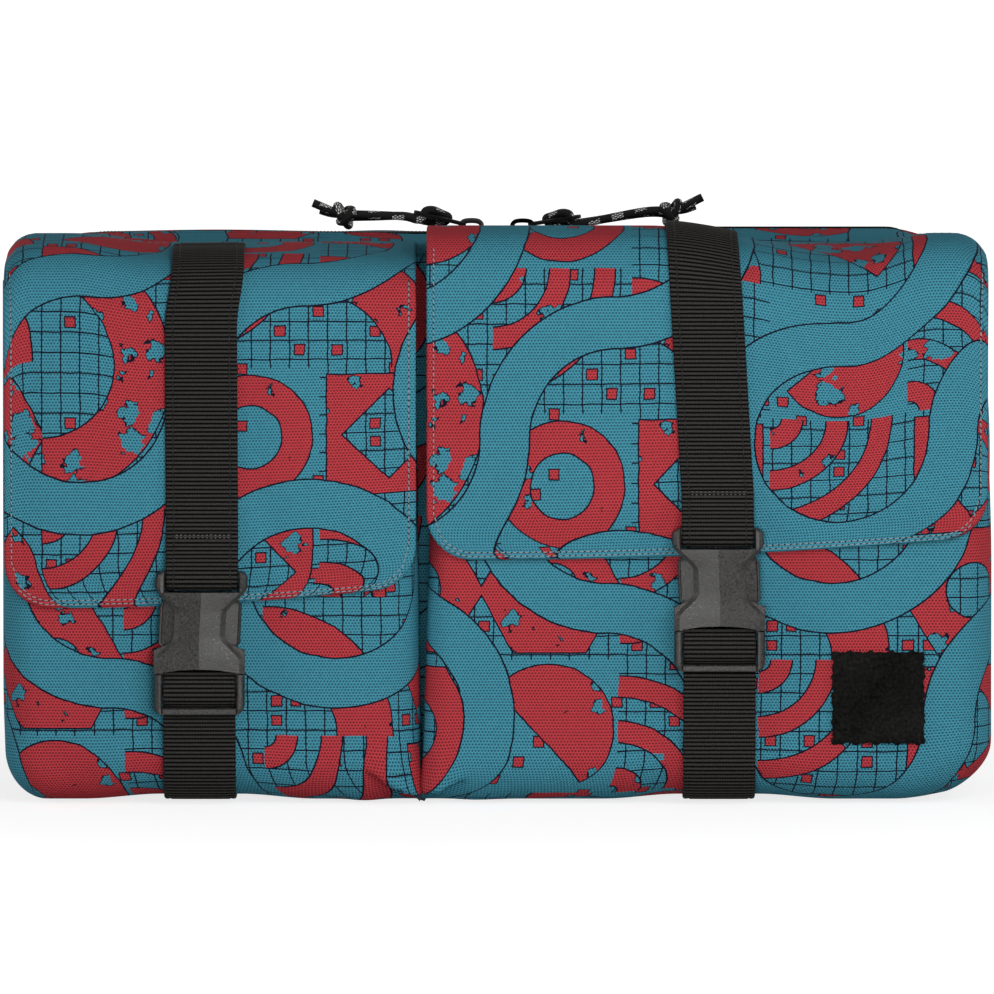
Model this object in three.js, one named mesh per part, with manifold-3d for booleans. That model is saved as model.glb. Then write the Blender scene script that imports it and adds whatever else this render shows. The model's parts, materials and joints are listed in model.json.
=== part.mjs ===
// Shoulder bag: a zipped main compartment with two flap pockets on its front.
// Millimetres, +Z up, the front faces -Y, the origin is on the floor under the main compartment.
import * as THREE from 'three';
import Module from 'manifold-3d';
import { mergeVertices } from 'three/addons/utils/BufferGeometryUtils.js';

const wasm = await Module();
wasm.setup();

// Cloth, webbing and the clearance between neighbours
const GAP = 0.3;
const CLOTH = 1.6;
const FLAP_CLOTH = 2.0;
const WEBBING_WIDTH = 25;
const WEBBING_THICKNESS = 1.5;

// Main compartment
const MAIN_WIDTH = 338;
const MAIN_DEPTH = 72;
const MAIN_FRONT = -16;
const TOP_EDGE_HEIGHT = 188;
const ZIP_CROWN = 6.5;
const TOP_CORNER = 16;
const BOTTOM_CORNER = 24;
const SIDE_BULGE = 3;
const BACK_EDGE = 3;
const BACK_PADDING = 9;

// Zip, from its centre line outwards
const ZIP_HALF_OPENING = 8;
const ZIP_HALF_LEVEL = 12;
const TAPE_THICKNESS = 0.9;
const CHAIN_SLOT = 1.6;
const COIL_WIDTH = 2.6;
const COIL_HEIGHT = 1.6;

// Zip sliders, their pull tabs and the cords on the tabs
const SLIDER_SPACING = 18;
const SLIDER_LENGTH = 12;
const SLIDER_WIDTH = 10;
const PLATE_THICKNESS = 1.1;
const ARCH_LENGTH = 8.4;
const ARCH_WIDTH = 2.4;
const ARCH_OPENING = 2.1;
const ARCH_WALL = 0.8;
const PULL_THICKNESS = 1.2;
const PULL_BAR = 1.2;
const PULL_LENGTH = 18.2;
const PULL_WIDTH = 6.4;
const PULL_EYE = 4.2;
const CORD_DIAMETER = 3;
const KNOT_LENGTH = 9.4;
const KNOT_HEIGHT = 8;
const LEFT_PULL_TILT = 14;
const LEFT_KNOT_OUT = 42;
const LEFT_KNOT_UP = 3;
const LEFT_TAIL_UP = 4.6;
const RIGHT_PULL_TILT = 9;
const RIGHT_KNOT_OUT = 49.5;
const RIGHT_KNOT_UP = 4.2;
const RIGHT_TAIL_UP = 5.4;

// Pockets and flaps
const POCKET_WIDTH_LEFT = 145;
const POCKET_WIDTH_RIGHT = 195;
const POCKET_DEPTH = 40;
const POCKET_RIM_HEIGHT = 176;
const POCKET_BOTTOM_EDGE = 16;
const POCKET_OUTER_CORNER = 14;
const POCKET_INNER_CORNER = 9;
const POCKET_LEFT_END = -171.5;
const POCKET_PARTING = 0.8;
const POCKET_PARTING_AT_RIM = 7;
const POCKET_LEAN_BACK = 4;
const POCKET_BACK_CLEARANCE = 1.5;
const POCKET_INNER_TURN = 0.35;
const FLAP_SEWN_DEPTH = 8;
const FLAP_FOLD = 22;
const FLAP_HEM_CORNER = 16;
const LEFT_FLAP_HEM = 68.3;
const LEFT_FLAP_HEM_RISE = 6;
const RIGHT_FLAP_HEM = 85;
const RIGHT_FLAP_HEM_RISE = 6.8;
const LEFT_FLAP_CREST = 189;
const RIGHT_FLAP_CREST = 199;
const RIGHT_FLAP_CREST_DROP = 8;
const RIGHT_FLAP_END_RISE = 3;
const LEFT_FLAP_OUTER_INSET = 1;
const LEFT_FLAP_INNER_INSET = 1.5;
const RIGHT_FLAP_OUTER_REACH = 0.5;
const RIGHT_FLAP_INNER_INSET = 2.5;

// Straps and side-release buckles
const LEFT_STRAP_X = -103;
const RIGHT_STRAP_X = 77;
const LEFT_STRAP_LEAN = 0.02;
const RIGHT_STRAP_LEAN = 0.063;
const LEFT_BUCKLE_MOUTH = 46;
const RIGHT_BUCKLE_MOUTH = 61;
const BUCKLE_WIDTH = 31.4;
const SOCKET_LENGTH = 35.4;
const SOCKET_WAIST = 17;
const SOCKET_EDGE = 6.8;
const SOCKET_RIDGE = 9.2;
const SOCKET_CHAMFER = 2.4;
const CAVITY_FLOOR = 2;
const CAVITY_DEPTH = 4.2;
const CAVITY_LENGTH = 27;
const BUCKLE_WALL = 1.2;
const PLUG_FRAME_LENGTH = 14.2;
const PLUG_BAR = 2.3;
const WEB_BAR_BACK = 2.6;
const WEB_BAR_FRONT = 5;
const WEB_BAR_LOW = -7.6;
const WEB_BAR_TOP = -4.8;
const LOWER_STRAP_END = 12;
const TAIL_END_ANGLE = 238;
const ARM_REACH = 26;
const ARM_INNER = 7.2;
const ROOT_FRONT = 4.2;
const ROOT_BOTTOM = -1.7;

// Patch on the right pocket, strap rings on the back
const PATCH_SIZE = 32;
const PATCH_THICKNESS = 1.6;
const PATCH_INSET = 37.3;
const PATCH_Z = 37;
const RING_INSET = 44;
const RING_BAR_HEIGHT = 152;
const RING_WIRE = 3.2;
const RING_DROP = 17;
const TAB_TOP = 176;

// Worked out from the sizes above
const MAIN_HALF = MAIN_WIDTH / 2;
const MAIN_BACK = MAIN_FRONT + MAIN_DEPTH;
const ZIP_Y = MAIN_FRONT + MAIN_DEPTH / 2;
const ZIP_HEIGHT = TOP_EDGE_HEIGHT + ZIP_CROWN;
const TAPE_HALF_WIDTH = ZIP_HALF_LEVEL - GAP;
const BAND_FRONT = MAIN_FRONT + CLOTH + GAP;
const BAND_BACK = MAIN_BACK - GAP;
const TOP_HALF_LENGTH = MAIN_HALF - TOP_CORNER - GAP;
const TAPE_TOP = ZIP_HEIGHT - CLOTH - GAP;
const COIL_BOTTOM = TAPE_TOP + GAP;
const PLATE_BOTTOM = COIL_BOTTOM + COIL_HEIGHT + GAP;
const PLATE_TOP = PLATE_BOTTOM + PLATE_THICKNESS;
const PULL_PIVOT_Z = PLATE_TOP + ARCH_OPENING / 2;
const POCKET_FLOOR = WEBBING_THICKNESS + 2 * GAP;
const POCKET_BACK = MAIN_FRONT - GAP;
const POCKET_FRONT = POCKET_BACK - POCKET_DEPTH;
const LEFT_POCKET_INNER = POCKET_LEFT_END + POCKET_WIDTH_LEFT;
const RIGHT_POCKET_INNER = LEFT_POCKET_INNER + POCKET_PARTING;
const RIGHT_POCKET_END = RIGHT_POCKET_INNER + POCKET_WIDTH_RIGHT;
const FLAP_FRONT = POCKET_FRONT - 2 * GAP - FLAP_CLOTH / 2;
const BUCKLE_BACK = FLAP_FRONT - FLAP_CLOTH / 2 - GAP;
const CAVITY_TOP = CAVITY_FLOOR + CAVITY_DEPTH;
const ARM_BOTTOM = CAVITY_FLOOR + 0.4;
const ARM_TOP = CAVITY_TOP - 0.4;
const WEB_HALF = WEBBING_THICKNESS / 2;
const BAR_BACK = WEBBING_THICKNESS + 2 * GAP;
const BAR_FRONT = BAR_BACK + 3;
const SLOT_HALF = WEBBING_WIDTH / 2 + 0.4;
const CREST_FALL_START = RIGHT_STRAP_X - WEBBING_WIDTH * 0.9;
const CREST_FALL_END = RIGHT_STRAP_X + WEBBING_WIDTH * 1.5;
const RIGHT_STRAP_RUN = RIGHT_FLAP_CREST - RIGHT_BUCKLE_MOUTH - SOCKET_LENGTH;
const RIGHT_STRAP_TOP_X = RIGHT_STRAP_X - RIGHT_STRAP_LEAN * RIGHT_STRAP_RUN;

// Finishes of the pieces
const FINISHES = {
  printedFabric: { color: 0x3b7e91, roughness: 0.8, metalness: 0 },
  webbing: { color: 0x272726, roughness: 0.85, metalness: 0 },
  zipTape: { color: 0x1c1c1d, roughness: 0.85, metalness: 0 },
  zipCoil: { color: 0x1e1e1f, roughness: 0.45, metalness: 0 },
  blackMetal: { color: 0x202021, roughness: 0.4, metalness: 0.6 },
  cord: { color: 0x242424, roughness: 0.8, metalness: 0 },
  bucklePlastic: { color: 0x3a3938, roughness: 0.5, metalness: 0 },
  loopPile: { color: 0x171616, roughness: 0.95, metalness: 0 },
};

const smooth = THREE.MathUtils.smoothstep;
const v2 = (y, z) => new THREE.Vector2(y, z);
const v3 = (x, y, z) => new THREE.Vector3(x, y, z);

// Closed solid between two grids of points with the same rows and columns.
function gridSolid(outer, inner) {
  const rows = outer.length;
  const columns = outer[0].length;
  const points = [...outer.flat(), ...inner.flat()];
  const at = (side, i, j) => side * rows * columns + i * columns + j;
  const triangles = [];
  const quad = (a, b, c, d) => triangles.push(a, b, c, a, c, d);
  for (let i = 0; i + 1 < rows; i++) {
    for (let j = 0; j + 1 < columns; j++) {
      quad(at(0, i, j), at(0, i + 1, j), at(0, i + 1, j + 1), at(0, i, j + 1));
      quad(at(1, i, j), at(1, i, j + 1), at(1, i + 1, j + 1), at(1, i + 1, j));
    }
  }
  for (let i = 0; i + 1 < rows; i++) {
    quad(at(0, i, 0), at(1, i, 0), at(1, i + 1, 0), at(0, i + 1, 0));
    const last = columns - 1;
    quad(at(0, i, last), at(0, i + 1, last), at(1, i + 1, last), at(1, i, last));
  }
  for (let j = 0; j + 1 < columns; j++) {
    quad(at(0, 0, j), at(0, 0, j + 1), at(1, 0, j + 1), at(1, 0, j));
    const last = rows - 1;
    quad(at(0, last, j), at(1, last, j), at(1, last, j + 1), at(0, last, j + 1));
  }
  let volume = 0;
  for (let t = 0; t < triangles.length; t += 3) {
    const [a, b, c] = [points[triangles[t]], points[triangles[t + 1]], points[triangles[t + 2]]];
    volume += a.dot(b.clone().cross(c));
  }
  if (volume < 0) triangles.reverse();
  const geometry = new THREE.BufferGeometry();
  geometry.setAttribute('position', new THREE.Float32BufferAttribute(points.flatMap((p) => p.toArray()), 3));
  geometry.setIndex(triangles);
  return geometry;
}

// Points of a line moved sideways, to the right of its direction, by a distance.
function offsetLine(line, distance) {
  return line.map((point, i) => {
    const before = line[Math.max(i - 1, 0)];
    const after = line[Math.min(i + 1, line.length - 1)];
    const into = point.clone().sub(before).normalize();
    const out = after.clone().sub(point).normalize();
    const along = into.clone().add(out).normalize();
    const mitre = 1 / Math.max(along.dot(i ? into : out), 0.5);
    return point.clone().add(v2(along.y, -along.x).multiplyScalar(distance * mitre));
  });
}

// Strip of cloth or webbing: one line of (y, z) points for each x across it, given a thickness.
function stripSolid(across, lineAt, thickness, sideways = () => 0) {
  const lines = across.map((x) => lineAt(x));
  const side = (distance) => {
    const moved = lines.map((line) => offsetLine(line, distance));
    return moved[0].map((_, i) => across.map((x, j) => {
      const { x: y, y: z } = moved[j][i];
      return v3(x + sideways(z), y, z);
    }));
  };
  return gridSolid(side(thickness / 2), side(-thickness / 2));
}

function arcPoints(centreY, centreZ, radius, from, to, steps) {
  return Array.from({ length: steps + 1 }, (_, i) => {
    const angle = THREE.MathUtils.degToRad(from + (to - from) * (i / steps));
    return v2(centreY + radius * Math.cos(angle), centreZ + radius * Math.sin(angle));
  });
}

function polygon(points) {
  return new THREE.Shape(points.map(([x, y]) => v2(x, y)));
}

function rectangle(x0, y0, x1, y1) {
  return polygon([[x0, y0], [x1, y0], [x1, y1], [x0, y1]]);
}

// Rectangle with its own radius at the lower and the upper corners.
function roundedRectangle(halfWidth, bottom, top, lowerRadius, upperRadius) {
  const shape = new THREE.Shape();
  shape.moveTo(-halfWidth + lowerRadius, bottom);
  shape.lineTo(halfWidth - lowerRadius, bottom);
  shape.absarc(halfWidth - lowerRadius, bottom + lowerRadius, lowerRadius, -Math.PI / 2, 0);
  shape.absarc(halfWidth - upperRadius, top - upperRadius, upperRadius, 0, Math.PI / 2);
  shape.absarc(-halfWidth + upperRadius, top - upperRadius, upperRadius, Math.PI / 2, Math.PI);
  shape.absarc(-halfWidth + lowerRadius, bottom + lowerRadius, lowerRadius, Math.PI, Math.PI * 1.5);
  return shape;
}

// A shape given thickness from one height to another.
function plate(shape, from, to, curveSegments = 4) {
  const geometry = new THREE.ExtrudeGeometry(shape, { depth: to - from, bevelEnabled: false, curveSegments });
  return geometry.translate(0, 0, from);
}

function block(x0, y0, z0, x1, y1, z1) {
  return plate(rectangle(x0, y0, x1, y1), z0, z1);
}

function toManifold(geometry) {
  const bare = geometry.clone();
  bare.deleteAttribute('normal');
  bare.deleteAttribute('uv');
  const merged = mergeVertices(bare, 1e-4);
  const mesh = new wasm.Mesh({
    numProp: 3,
    vertProperties: new Float32Array(merged.attributes.position.array),
    triVerts: new Uint32Array(merged.index.array),
  });
  return new wasm.Manifold(mesh);
}

function fromManifold(manifold) {
  const mesh = manifold.getMesh();
  const geometry = new THREE.BufferGeometry();
  geometry.setAttribute('position', new THREE.BufferAttribute(mesh.vertProperties, 3));
  geometry.setIndex(new THREE.BufferAttribute(mesh.triVerts, 1));
  return geometry;
}

function join(geometries) {
  return fromManifold(wasm.Manifold.union(geometries.map(toManifold)));
}

function cut(geometry, tools) {
  return fromManifold(toManifold(geometry).subtract(wasm.Manifold.union(tools.map(toManifold))));
}

const bag = new THREE.Group();

function add(name, finish, geometry, parent = bag) {
  const mesh = new THREE.Mesh(geometry, new THREE.MeshStandardMaterial(finish));
  mesh.name = name;
  parent.add(mesh);
  return mesh;
}

// Height of the top of the main compartment: level along the zip, lower at the front and back edges.
function topHeight(y) {
  const beyond = Math.max(Math.abs(y - ZIP_Y) - ZIP_HALF_LEVEL, 0);
  return ZIP_HEIGHT - ZIP_CROWN * beyond / (MAIN_DEPTH / 2 - ZIP_HALF_LEVEL);
}

// How far the top has come down at a distance from the middle, on its rounded corner.
function cornerDrop(x) {
  const into = Math.max(Math.abs(x) - (MAIN_HALF - TOP_CORNER), 0);
  return TOP_CORNER - Math.sqrt(Math.max(TOP_CORNER ** 2 - into ** 2, 0));
}

// Side wall with its rounded lower and upper ends, bellied outwards.
function sidePanel(side) {
  const columns = 5;
  const face = (inset) => {
    const depthAt = (j) => BAND_FRONT + (BAND_BACK - BAND_FRONT) * j / columns;
    const across = Array.from({ length: columns + 1 }, (_, j) => depthAt(j));
    const lines = across.map((y) => {
      const top = topHeight(y);
      const lower = arcPoints(MAIN_HALF - BOTTOM_CORNER, BOTTOM_CORNER, BOTTOM_CORNER - inset, -90, 0, 4);
      const upper = arcPoints(MAIN_HALF - TOP_CORNER, top - TOP_CORNER, TOP_CORNER - inset, 0, 90, 4);
      const middle = [1, 2, 3].map((k) => lower[4].clone().lerp(upper[0], k / 4));
      return [...lower, ...middle, ...upper].map((point) => {
        const belly = SIDE_BULGE * Math.sin(Math.PI * point.y / top) ** 2;
        const depth = Math.sin(Math.PI * (y - BAND_FRONT) / (BAND_BACK - BAND_FRONT));
        return v3(side * (point.x + belly * depth), y, point.y);
      });
    });
    return lines;
  };
  return gridSolid(face(0), face(CLOTH));
}

// Front of the back panel is flat, its outside is padded and swells towards the middle.
function backSurface(x, z) {
  const across = Math.min(Math.abs(x) / MAIN_HALF, 1);
  const up = Math.min(Math.abs(2 * z / TOP_EDGE_HEIGHT - 1), 1);
  return MAIN_BACK + BACK_EDGE + (BACK_PADDING - BACK_EDGE) * (1 - across ** 4) * (1 - up ** 4);
}

function backPanel() {
  const heights = [0, 0.3, 1].map((k) => BOTTOM_CORNER * k)
    .concat([0.25, 0.5, 0.75].map((k) => BOTTOM_CORNER + (TOP_EDGE_HEIGHT - BOTTOM_CORNER - TOP_CORNER) * k))
    .concat([1, 0.3, 0].map((k) => TOP_EDGE_HEIGHT - TOP_CORNER * k));
  const columns = 12;
  const face = (depthAt) => heights.map((z) => {
    const below = Math.max(BOTTOM_CORNER - z, 0);
    const above = Math.max(z - TOP_EDGE_HEIGHT + TOP_CORNER, 0);
    const half = MAIN_HALF
      - (BOTTOM_CORNER - Math.sqrt(BOTTOM_CORNER ** 2 - below ** 2))
      - (TOP_CORNER - Math.sqrt(TOP_CORNER ** 2 - above ** 2));
    return Array.from({ length: columns + 1 }, (_, j) => {
      const x = half * Math.sin(Math.PI * (j / columns - 0.5));
      return v3(x, depthAt(x, z), z);
    });
  });
  return gridSolid(face(backSurface), face(() => MAIN_BACK));
}

function addMainCompartment() {
  const outline = roundedRectangle(MAIN_HALF, 0, TOP_EDGE_HEIGHT, BOTTOM_CORNER, TOP_CORNER);
  const front = plate(outline, 0, CLOTH).rotateX(Math.PI / 2).translate(0, MAIN_FRONT + CLOTH, 0);
  add('main_front_panel', FINISHES.printedFabric, front);
  add('back_panel', FINISHES.printedFabric, backPanel());
  const flatHalf = MAIN_HALF - BOTTOM_CORNER - GAP;
  add('bottom_panel', FINISHES.printedFabric, block(-flatHalf, BAND_FRONT, 0, flatHalf, BAND_BACK, CLOTH));
  add('left_side_panel', FINISHES.printedFabric, sidePanel(-1));
  add('right_side_panel', FINISHES.printedFabric, sidePanel(1));

  const across = [-TOP_HALF_LENGTH, TOP_HALF_LENGTH];
  const strip = (edge, level, inner) => [edge, level, inner].map((y) => v2(y, topHeight(y) - CLOTH / 2));
  const frontLine = strip(BAND_FRONT, ZIP_Y - ZIP_HALF_LEVEL, ZIP_Y - ZIP_HALF_OPENING);
  const backLine = strip(BAND_BACK, ZIP_Y + ZIP_HALF_LEVEL, ZIP_Y + ZIP_HALF_OPENING);
  add('top_front_strip', FINISHES.printedFabric, stripSolid(across, () => frontLine, CLOTH));
  add('top_back_strip', FINISHES.printedFabric, stripSolid(across, () => backLine, CLOTH));
}

function addZip() {
  const half = TOP_HALF_LENGTH;
  for (const [name, side] of [['front', -1], ['back', 1]]) {
    const inner = ZIP_Y + side * CHAIN_SLOT / 2;
    const outer = ZIP_Y + side * TAPE_HALF_WIDTH;
    const tape = [inner, outer].sort((a, b) => a - b);
    const strip = block(-half, tape[0], TAPE_TOP - TAPE_THICKNESS, half, tape[1], TAPE_TOP);
    add(`zip_${name}_tape`, FINISHES.zipTape, strip);
    const middle = inner + side * COIL_WIDTH / 2;
    const [low, high] = [middle - COIL_WIDTH / 2, middle + COIL_WIDTH / 2];
    const coilTop = COIL_BOTTOM + COIL_HEIGHT;
    const shoulder = COIL_BOTTOM + COIL_HEIGHT / 2;
    const section = new THREE.Shape();
    section.moveTo(low, COIL_BOTTOM);
    section.lineTo(high, COIL_BOTTOM);
    section.lineTo(high, shoulder);
    section.quadraticCurveTo(high, coilTop, middle, coilTop);
    section.quadraticCurveTo(low, coilTop, low, shoulder);
    const coil = plate(section, -half, half, 3);
    coil.applyMatrix4(new THREE.Matrix4().makeBasis(v3(0, 1, 0), v3(0, 0, 1), v3(1, 0, 0)));
    add(`zip_${name}_coil`, FINISHES.zipCoil, coil);
  }
}

// Slider body, drawn along +X from its narrow tail to its wide nose, over its own centre.
function sliderBody() {
  const nose = SLIDER_LENGTH / 2;
  const outline = polygon([
    [-nose, -SLIDER_WIDTH * 0.36], [nose * 0.2, -SLIDER_WIDTH / 2], [nose * 0.8, -SLIDER_WIDTH / 2],
    [nose, -SLIDER_WIDTH * 0.3], [nose, SLIDER_WIDTH * 0.3], [nose * 0.8, SLIDER_WIDTH / 2],
    [nose * 0.2, SLIDER_WIDTH / 2], [-nose, SLIDER_WIDTH * 0.36],
  ]);
  const tapeBottom = TAPE_TOP - TAPE_THICKNESS;
  const postHalf = CHAIN_SLOT / 2 - GAP;
  const rowEdge = CHAIN_SLOT / 2 + COIL_WIDTH + GAP;
  const arch = cut(
    block(-ARCH_LENGTH / 2, -ARCH_WIDTH / 2, PLATE_TOP - 0.1, ARCH_LENGTH / 2, ARCH_WIDTH / 2,
      PLATE_TOP + ARCH_OPENING + ARCH_WALL),
    [block(-ARCH_LENGTH / 2 + ARCH_WALL, -ARCH_WIDTH, PLATE_TOP, ARCH_LENGTH / 2 - ARCH_WALL, ARCH_WIDTH,
      PLATE_TOP + ARCH_OPENING)]);
  const flange = (side) => {
    const [low, high] = [side * rowEdge, side * SLIDER_WIDTH * 0.4].sort((a, b) => a - b);
    return block(-nose * 0.9, low, TAPE_TOP + GAP, nose * 0.7, high, PLATE_BOTTOM + 0.1);
  };
  return join([
    plate(outline, PLATE_BOTTOM, PLATE_TOP),
    plate(outline, tapeBottom - GAP - PLATE_THICKNESS, tapeBottom - GAP),
    block(nose * 0.3, -postHalf, tapeBottom - GAP - 0.1, nose * 0.9, postHalf, PLATE_BOTTOM + 0.1),
    flange(-1), flange(1), arch,
  ]);
}

// Pull tab lying along +X from the bar that turns under the slider's arch; grown, it is the room it needs.
function pullTab(grow = 0) {
  const half = PULL_WIDTH / 2 + grow;
  const barHalf = PULL_BAR / 2;
  const eyeX = PULL_LENGTH - PULL_WIDTH / 2;
  const outline = new THREE.Shape();
  outline.moveTo(-barHalf, -half * 0.8);
  outline.lineTo(eyeX, -half);
  outline.absarc(eyeX, 0, half, -Math.PI / 2, Math.PI / 2);
  outline.lineTo(-barHalf, half * 0.8);
  const window = ARCH_WIDTH / 2 + GAP;
  outline.holes.push(rectangle(barHalf, -window, ARCH_LENGTH * 0.72, window));
  const eye = new THREE.Path();
  eye.absarc(eyeX, 0, PULL_EYE / 2 - grow, 0, Math.PI * 2);
  outline.holes.push(eye);
  return plate(outline, -PULL_THICKNESS / 2 - grow, PULL_THICKNESS / 2 + grow, 5);
}

// Tube of the cord along a route of points.
function cordTube(route, steps) {
  const section = new THREE.Shape();
  section.absarc(0, 0, CORD_DIAMETER / 2, 0, Math.PI * 2);
  const extrudePath = new THREE.CatmullRomCurve3(route);
  return new THREE.ExtrudeGeometry(section, { steps, bevelEnabled: false, extrudePath, curveSegments: 4 });
}

// Lump of the knot: two crossing turns of cord drawn tight round a core.
function knotLump(centre, scale) {
  const turn = (tilt) => new THREE.SphereGeometry(1, 10, 7)
    .scale(scale * KNOT_LENGTH * 0.36, scale * KNOT_HEIGHT * 0.46, scale * KNOT_HEIGHT * 0.5)
    .rotateY(tilt).translate(centre.x - Math.sign(tilt) * KNOT_LENGTH * 0.13, centre.y, centre.z);
  return join([turn(0.5), turn(-0.5)]);
}

// One end of the zip chain: slider, pull tab at its rest angle, hitched cord and knot.
function addPull(side, name, tilt, knotOut, knotUp, tailUp) {
  const sliderX = side * SLIDER_SPACING / 2;
  const slider = sliderBody().rotateZ(side < 0 ? Math.PI : 0).translate(sliderX, ZIP_Y, 0);
  add(`${name}_zip_slider`, FINISHES.blackMetal, slider);
  const pivot = v3(sliderX + side * (ARCH_LENGTH / 2 - ARCH_WALL - PULL_BAR / 2 - GAP), ZIP_Y, PULL_PIVOT_Z);

  const angle = THREE.MathUtils.degToRad(tilt);
  const tab = add(`${name}_pull_tab`, FINISHES.blackMetal, pullTab());
  tab.rotation.set(0, side < 0 ? Math.PI + angle : -angle, 0);
  tab.position.copy(pivot);
  tab.updateMatrix();

  // The route is written outwards from the bar and up from it, in the plane of the zip's centre line.
  const point = (out, across, up) => v3(pivot.x + side * out, pivot.y + across, pivot.z + up);
  const onTab = (along, up, across = 0) => point(
    along * Math.cos(angle) - up * Math.sin(angle), across, along * Math.sin(angle) + up * Math.cos(angle));
  const reach = PULL_LENGTH - PULL_WIDTH / 2;
  const lift = PULL_THICKNESS / 2 + CORD_DIAMETER / 2 + GAP;
  const knot = point(knotOut, 0, knotUp);
  const beside = PULL_WIDTH / 2 + CORD_DIAMETER / 2 + GAP;
  const pastEnd = PULL_LENGTH + CORD_DIAMETER;
  const strand = CORD_DIAMETER / 2 + GAP / 2;
  const route = [
    point(knotOut, strand, knotUp + 0.6),
    point(knotOut - KNOT_LENGTH, strand, knotUp + 0.4),
    onTab(pastEnd, -lift, strand),
    onTab(reach + 1.6, -lift, 1),
    onTab(reach - 0.2, -PULL_THICKNESS, 0.3),
    onTab(reach - 0.8, PULL_THICKNESS, 0),
    onTab(reach - 3, lift + GAP, -0.8),
    onTab(reach - 5.2, lift - GAP, -3),
    onTab(reach - 6, 0, -beside - GAP),
    onTab(reach - 4, -lift, -beside * 0.8),
    onTab(reach + 1.6, -lift, -beside * 0.5),
    onTab(pastEnd, -lift, -strand),
    point(knotOut - KNOT_LENGTH, -strand, knotUp - 0.4),
    point(knotOut, -strand, knotUp - 0.6),
  ];
  const room = [knotLump(knot, 1 + 2 * GAP / KNOT_HEIGHT), pullTab(GAP / 2).applyMatrix4(tab.matrix)];
  add(`${name}_pull_cord`, FINISHES.cord, cut(cordTube(route, 40), room));
  const tail = (across, out, up) => cordTube(
    [knot, point(knotOut + 4, across, knotUp + 1), point(knotOut + out, across * 1.6, knotUp + up)], 4);
  const tails = [tail(-1.4, 10, tailUp), tail(1.4, 8, tailUp * 0.4)];
  add(`${name}_pull_knot`, FINISHES.cord, join([knotLump(knot, 1), ...tails]));
}

// Fabric shell of a pocket: sides and front in one wall that turns under into the bottom.
function addPocket(name, outerX, innerX, innerAtRim) {
  const side = Math.sign(innerX - outerX);
  const levels = [];
  const edge = POCKET_BOTTOM_EDGE;
  const turnStart = POCKET_FLOOR + edge;
  for (let k = 0; k < 6; k++) {
    levels.push({ turn: 0, z: THREE.MathUtils.lerp(POCKET_RIM_HEIGHT, turnStart, k / 6), under: 0 });
  }
  for (let k = 0; k <= 4; k++) levels.push({ turn: Math.PI / 2 * k / 4, z: turnStart, under: 0 });
  const reach = POCKET_DEPTH - edge - POCKET_BACK_CLEARANCE;
  for (let k = 1; k <= 2; k++) levels.push({ turn: Math.PI / 2, z: turnStart, under: reach * k / 2 });

  const face = (inset) => levels.map(({ turn, z, under }) => {
    const radius = edge - inset;
    const height = z - radius * Math.sin(turn);
    const inwards = edge - radius * Math.cos(turn) + under;
    const up = THREE.MathUtils.clamp((z - turnStart) / (POCKET_RIM_HEIGHT - turnStart), 0, 1);
    const front = POCKET_FRONT + POCKET_LEAN_BACK * up ** 2 + inwards;
    const inner = innerX + (innerAtRim - innerX) * up;
    const innerInwards = inset + (inwards - inset) * POCKET_INNER_TURN;
    const ends = [
      { x: outerX + side * inwards, r: Math.max(POCKET_OUTER_CORNER - inwards, 1), sign: side },
      { x: inner - side * innerInwards, r: Math.max(POCKET_INNER_CORNER - inwards, 1), sign: -side },
    ];
    const wall = ({ x, r, sign }) => [
      v3(x, POCKET_BACK, height),
      v3(x, (POCKET_BACK + front + r) / 2, height),
      ...[0, 1, 2, 3].map((k) => {
        const angle = Math.PI / 2 * k / 3;
        return v3(x + sign * r * (1 - Math.cos(angle)), front + r * (1 - Math.sin(angle)), height);
      }),
    ];
    const first = wall(ends[0]);
    const second = wall(ends[1]).reverse();
    const middle = [1, 2, 3, 4, 5, 6, 7].map((k) => first[5].clone().lerp(second[0], k / 8));
    return [...first, ...middle, ...second];
  });
  add(`${name}_pocket`, FINISHES.printedFabric, gridSolid(face(0), face(CLOTH)));
}

// Middle line of a flap over its fold at one place across it, as (y, z) points with their outward directions.
function flapFold(x, crest) {
  const drop = cornerDrop(THREE.MathUtils.clamp(x, 2 - MAIN_HALF, MAIN_HALF - 2));
  const rearY = MAIN_FRONT + FLAP_SEWN_DEPTH;
  const rearZ = topHeight(rearY) + GAP + FLAP_CLOTH / 2;
  const crestY = FLAP_FRONT + FLAP_FOLD * 1.2;
  const top = crest(x);
  const rear = v2(rearY, rearZ - drop);
  const rise = v2((rearY + crestY) / 2, Math.max(top, rearZ) - drop);
  const over = v2(crestY, top - drop);
  const corner = v2(FLAP_FRONT, top - drop);
  const down = v2(FLAP_FRONT, top - drop - FLAP_FOLD);
  const back = new THREE.QuadraticBezierCurve(rear, rise, over);
  const front = new THREE.QuadraticBezierCurve(over, corner, down);
  const sample = (curve, share) => {
    const tangent = curve.getTangent(share);
    return { point: curve.getPoint(share), outward: v2(tangent.y, -tangent.x) };
  };
  return [
    ...[0, 0.3, 0.65, 1].map((share) => sample(back, share)),
    ...[0.2, 0.4, 0.6, 0.8, 1].map((share) => sample(front, share)),
  ];
}

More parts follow.
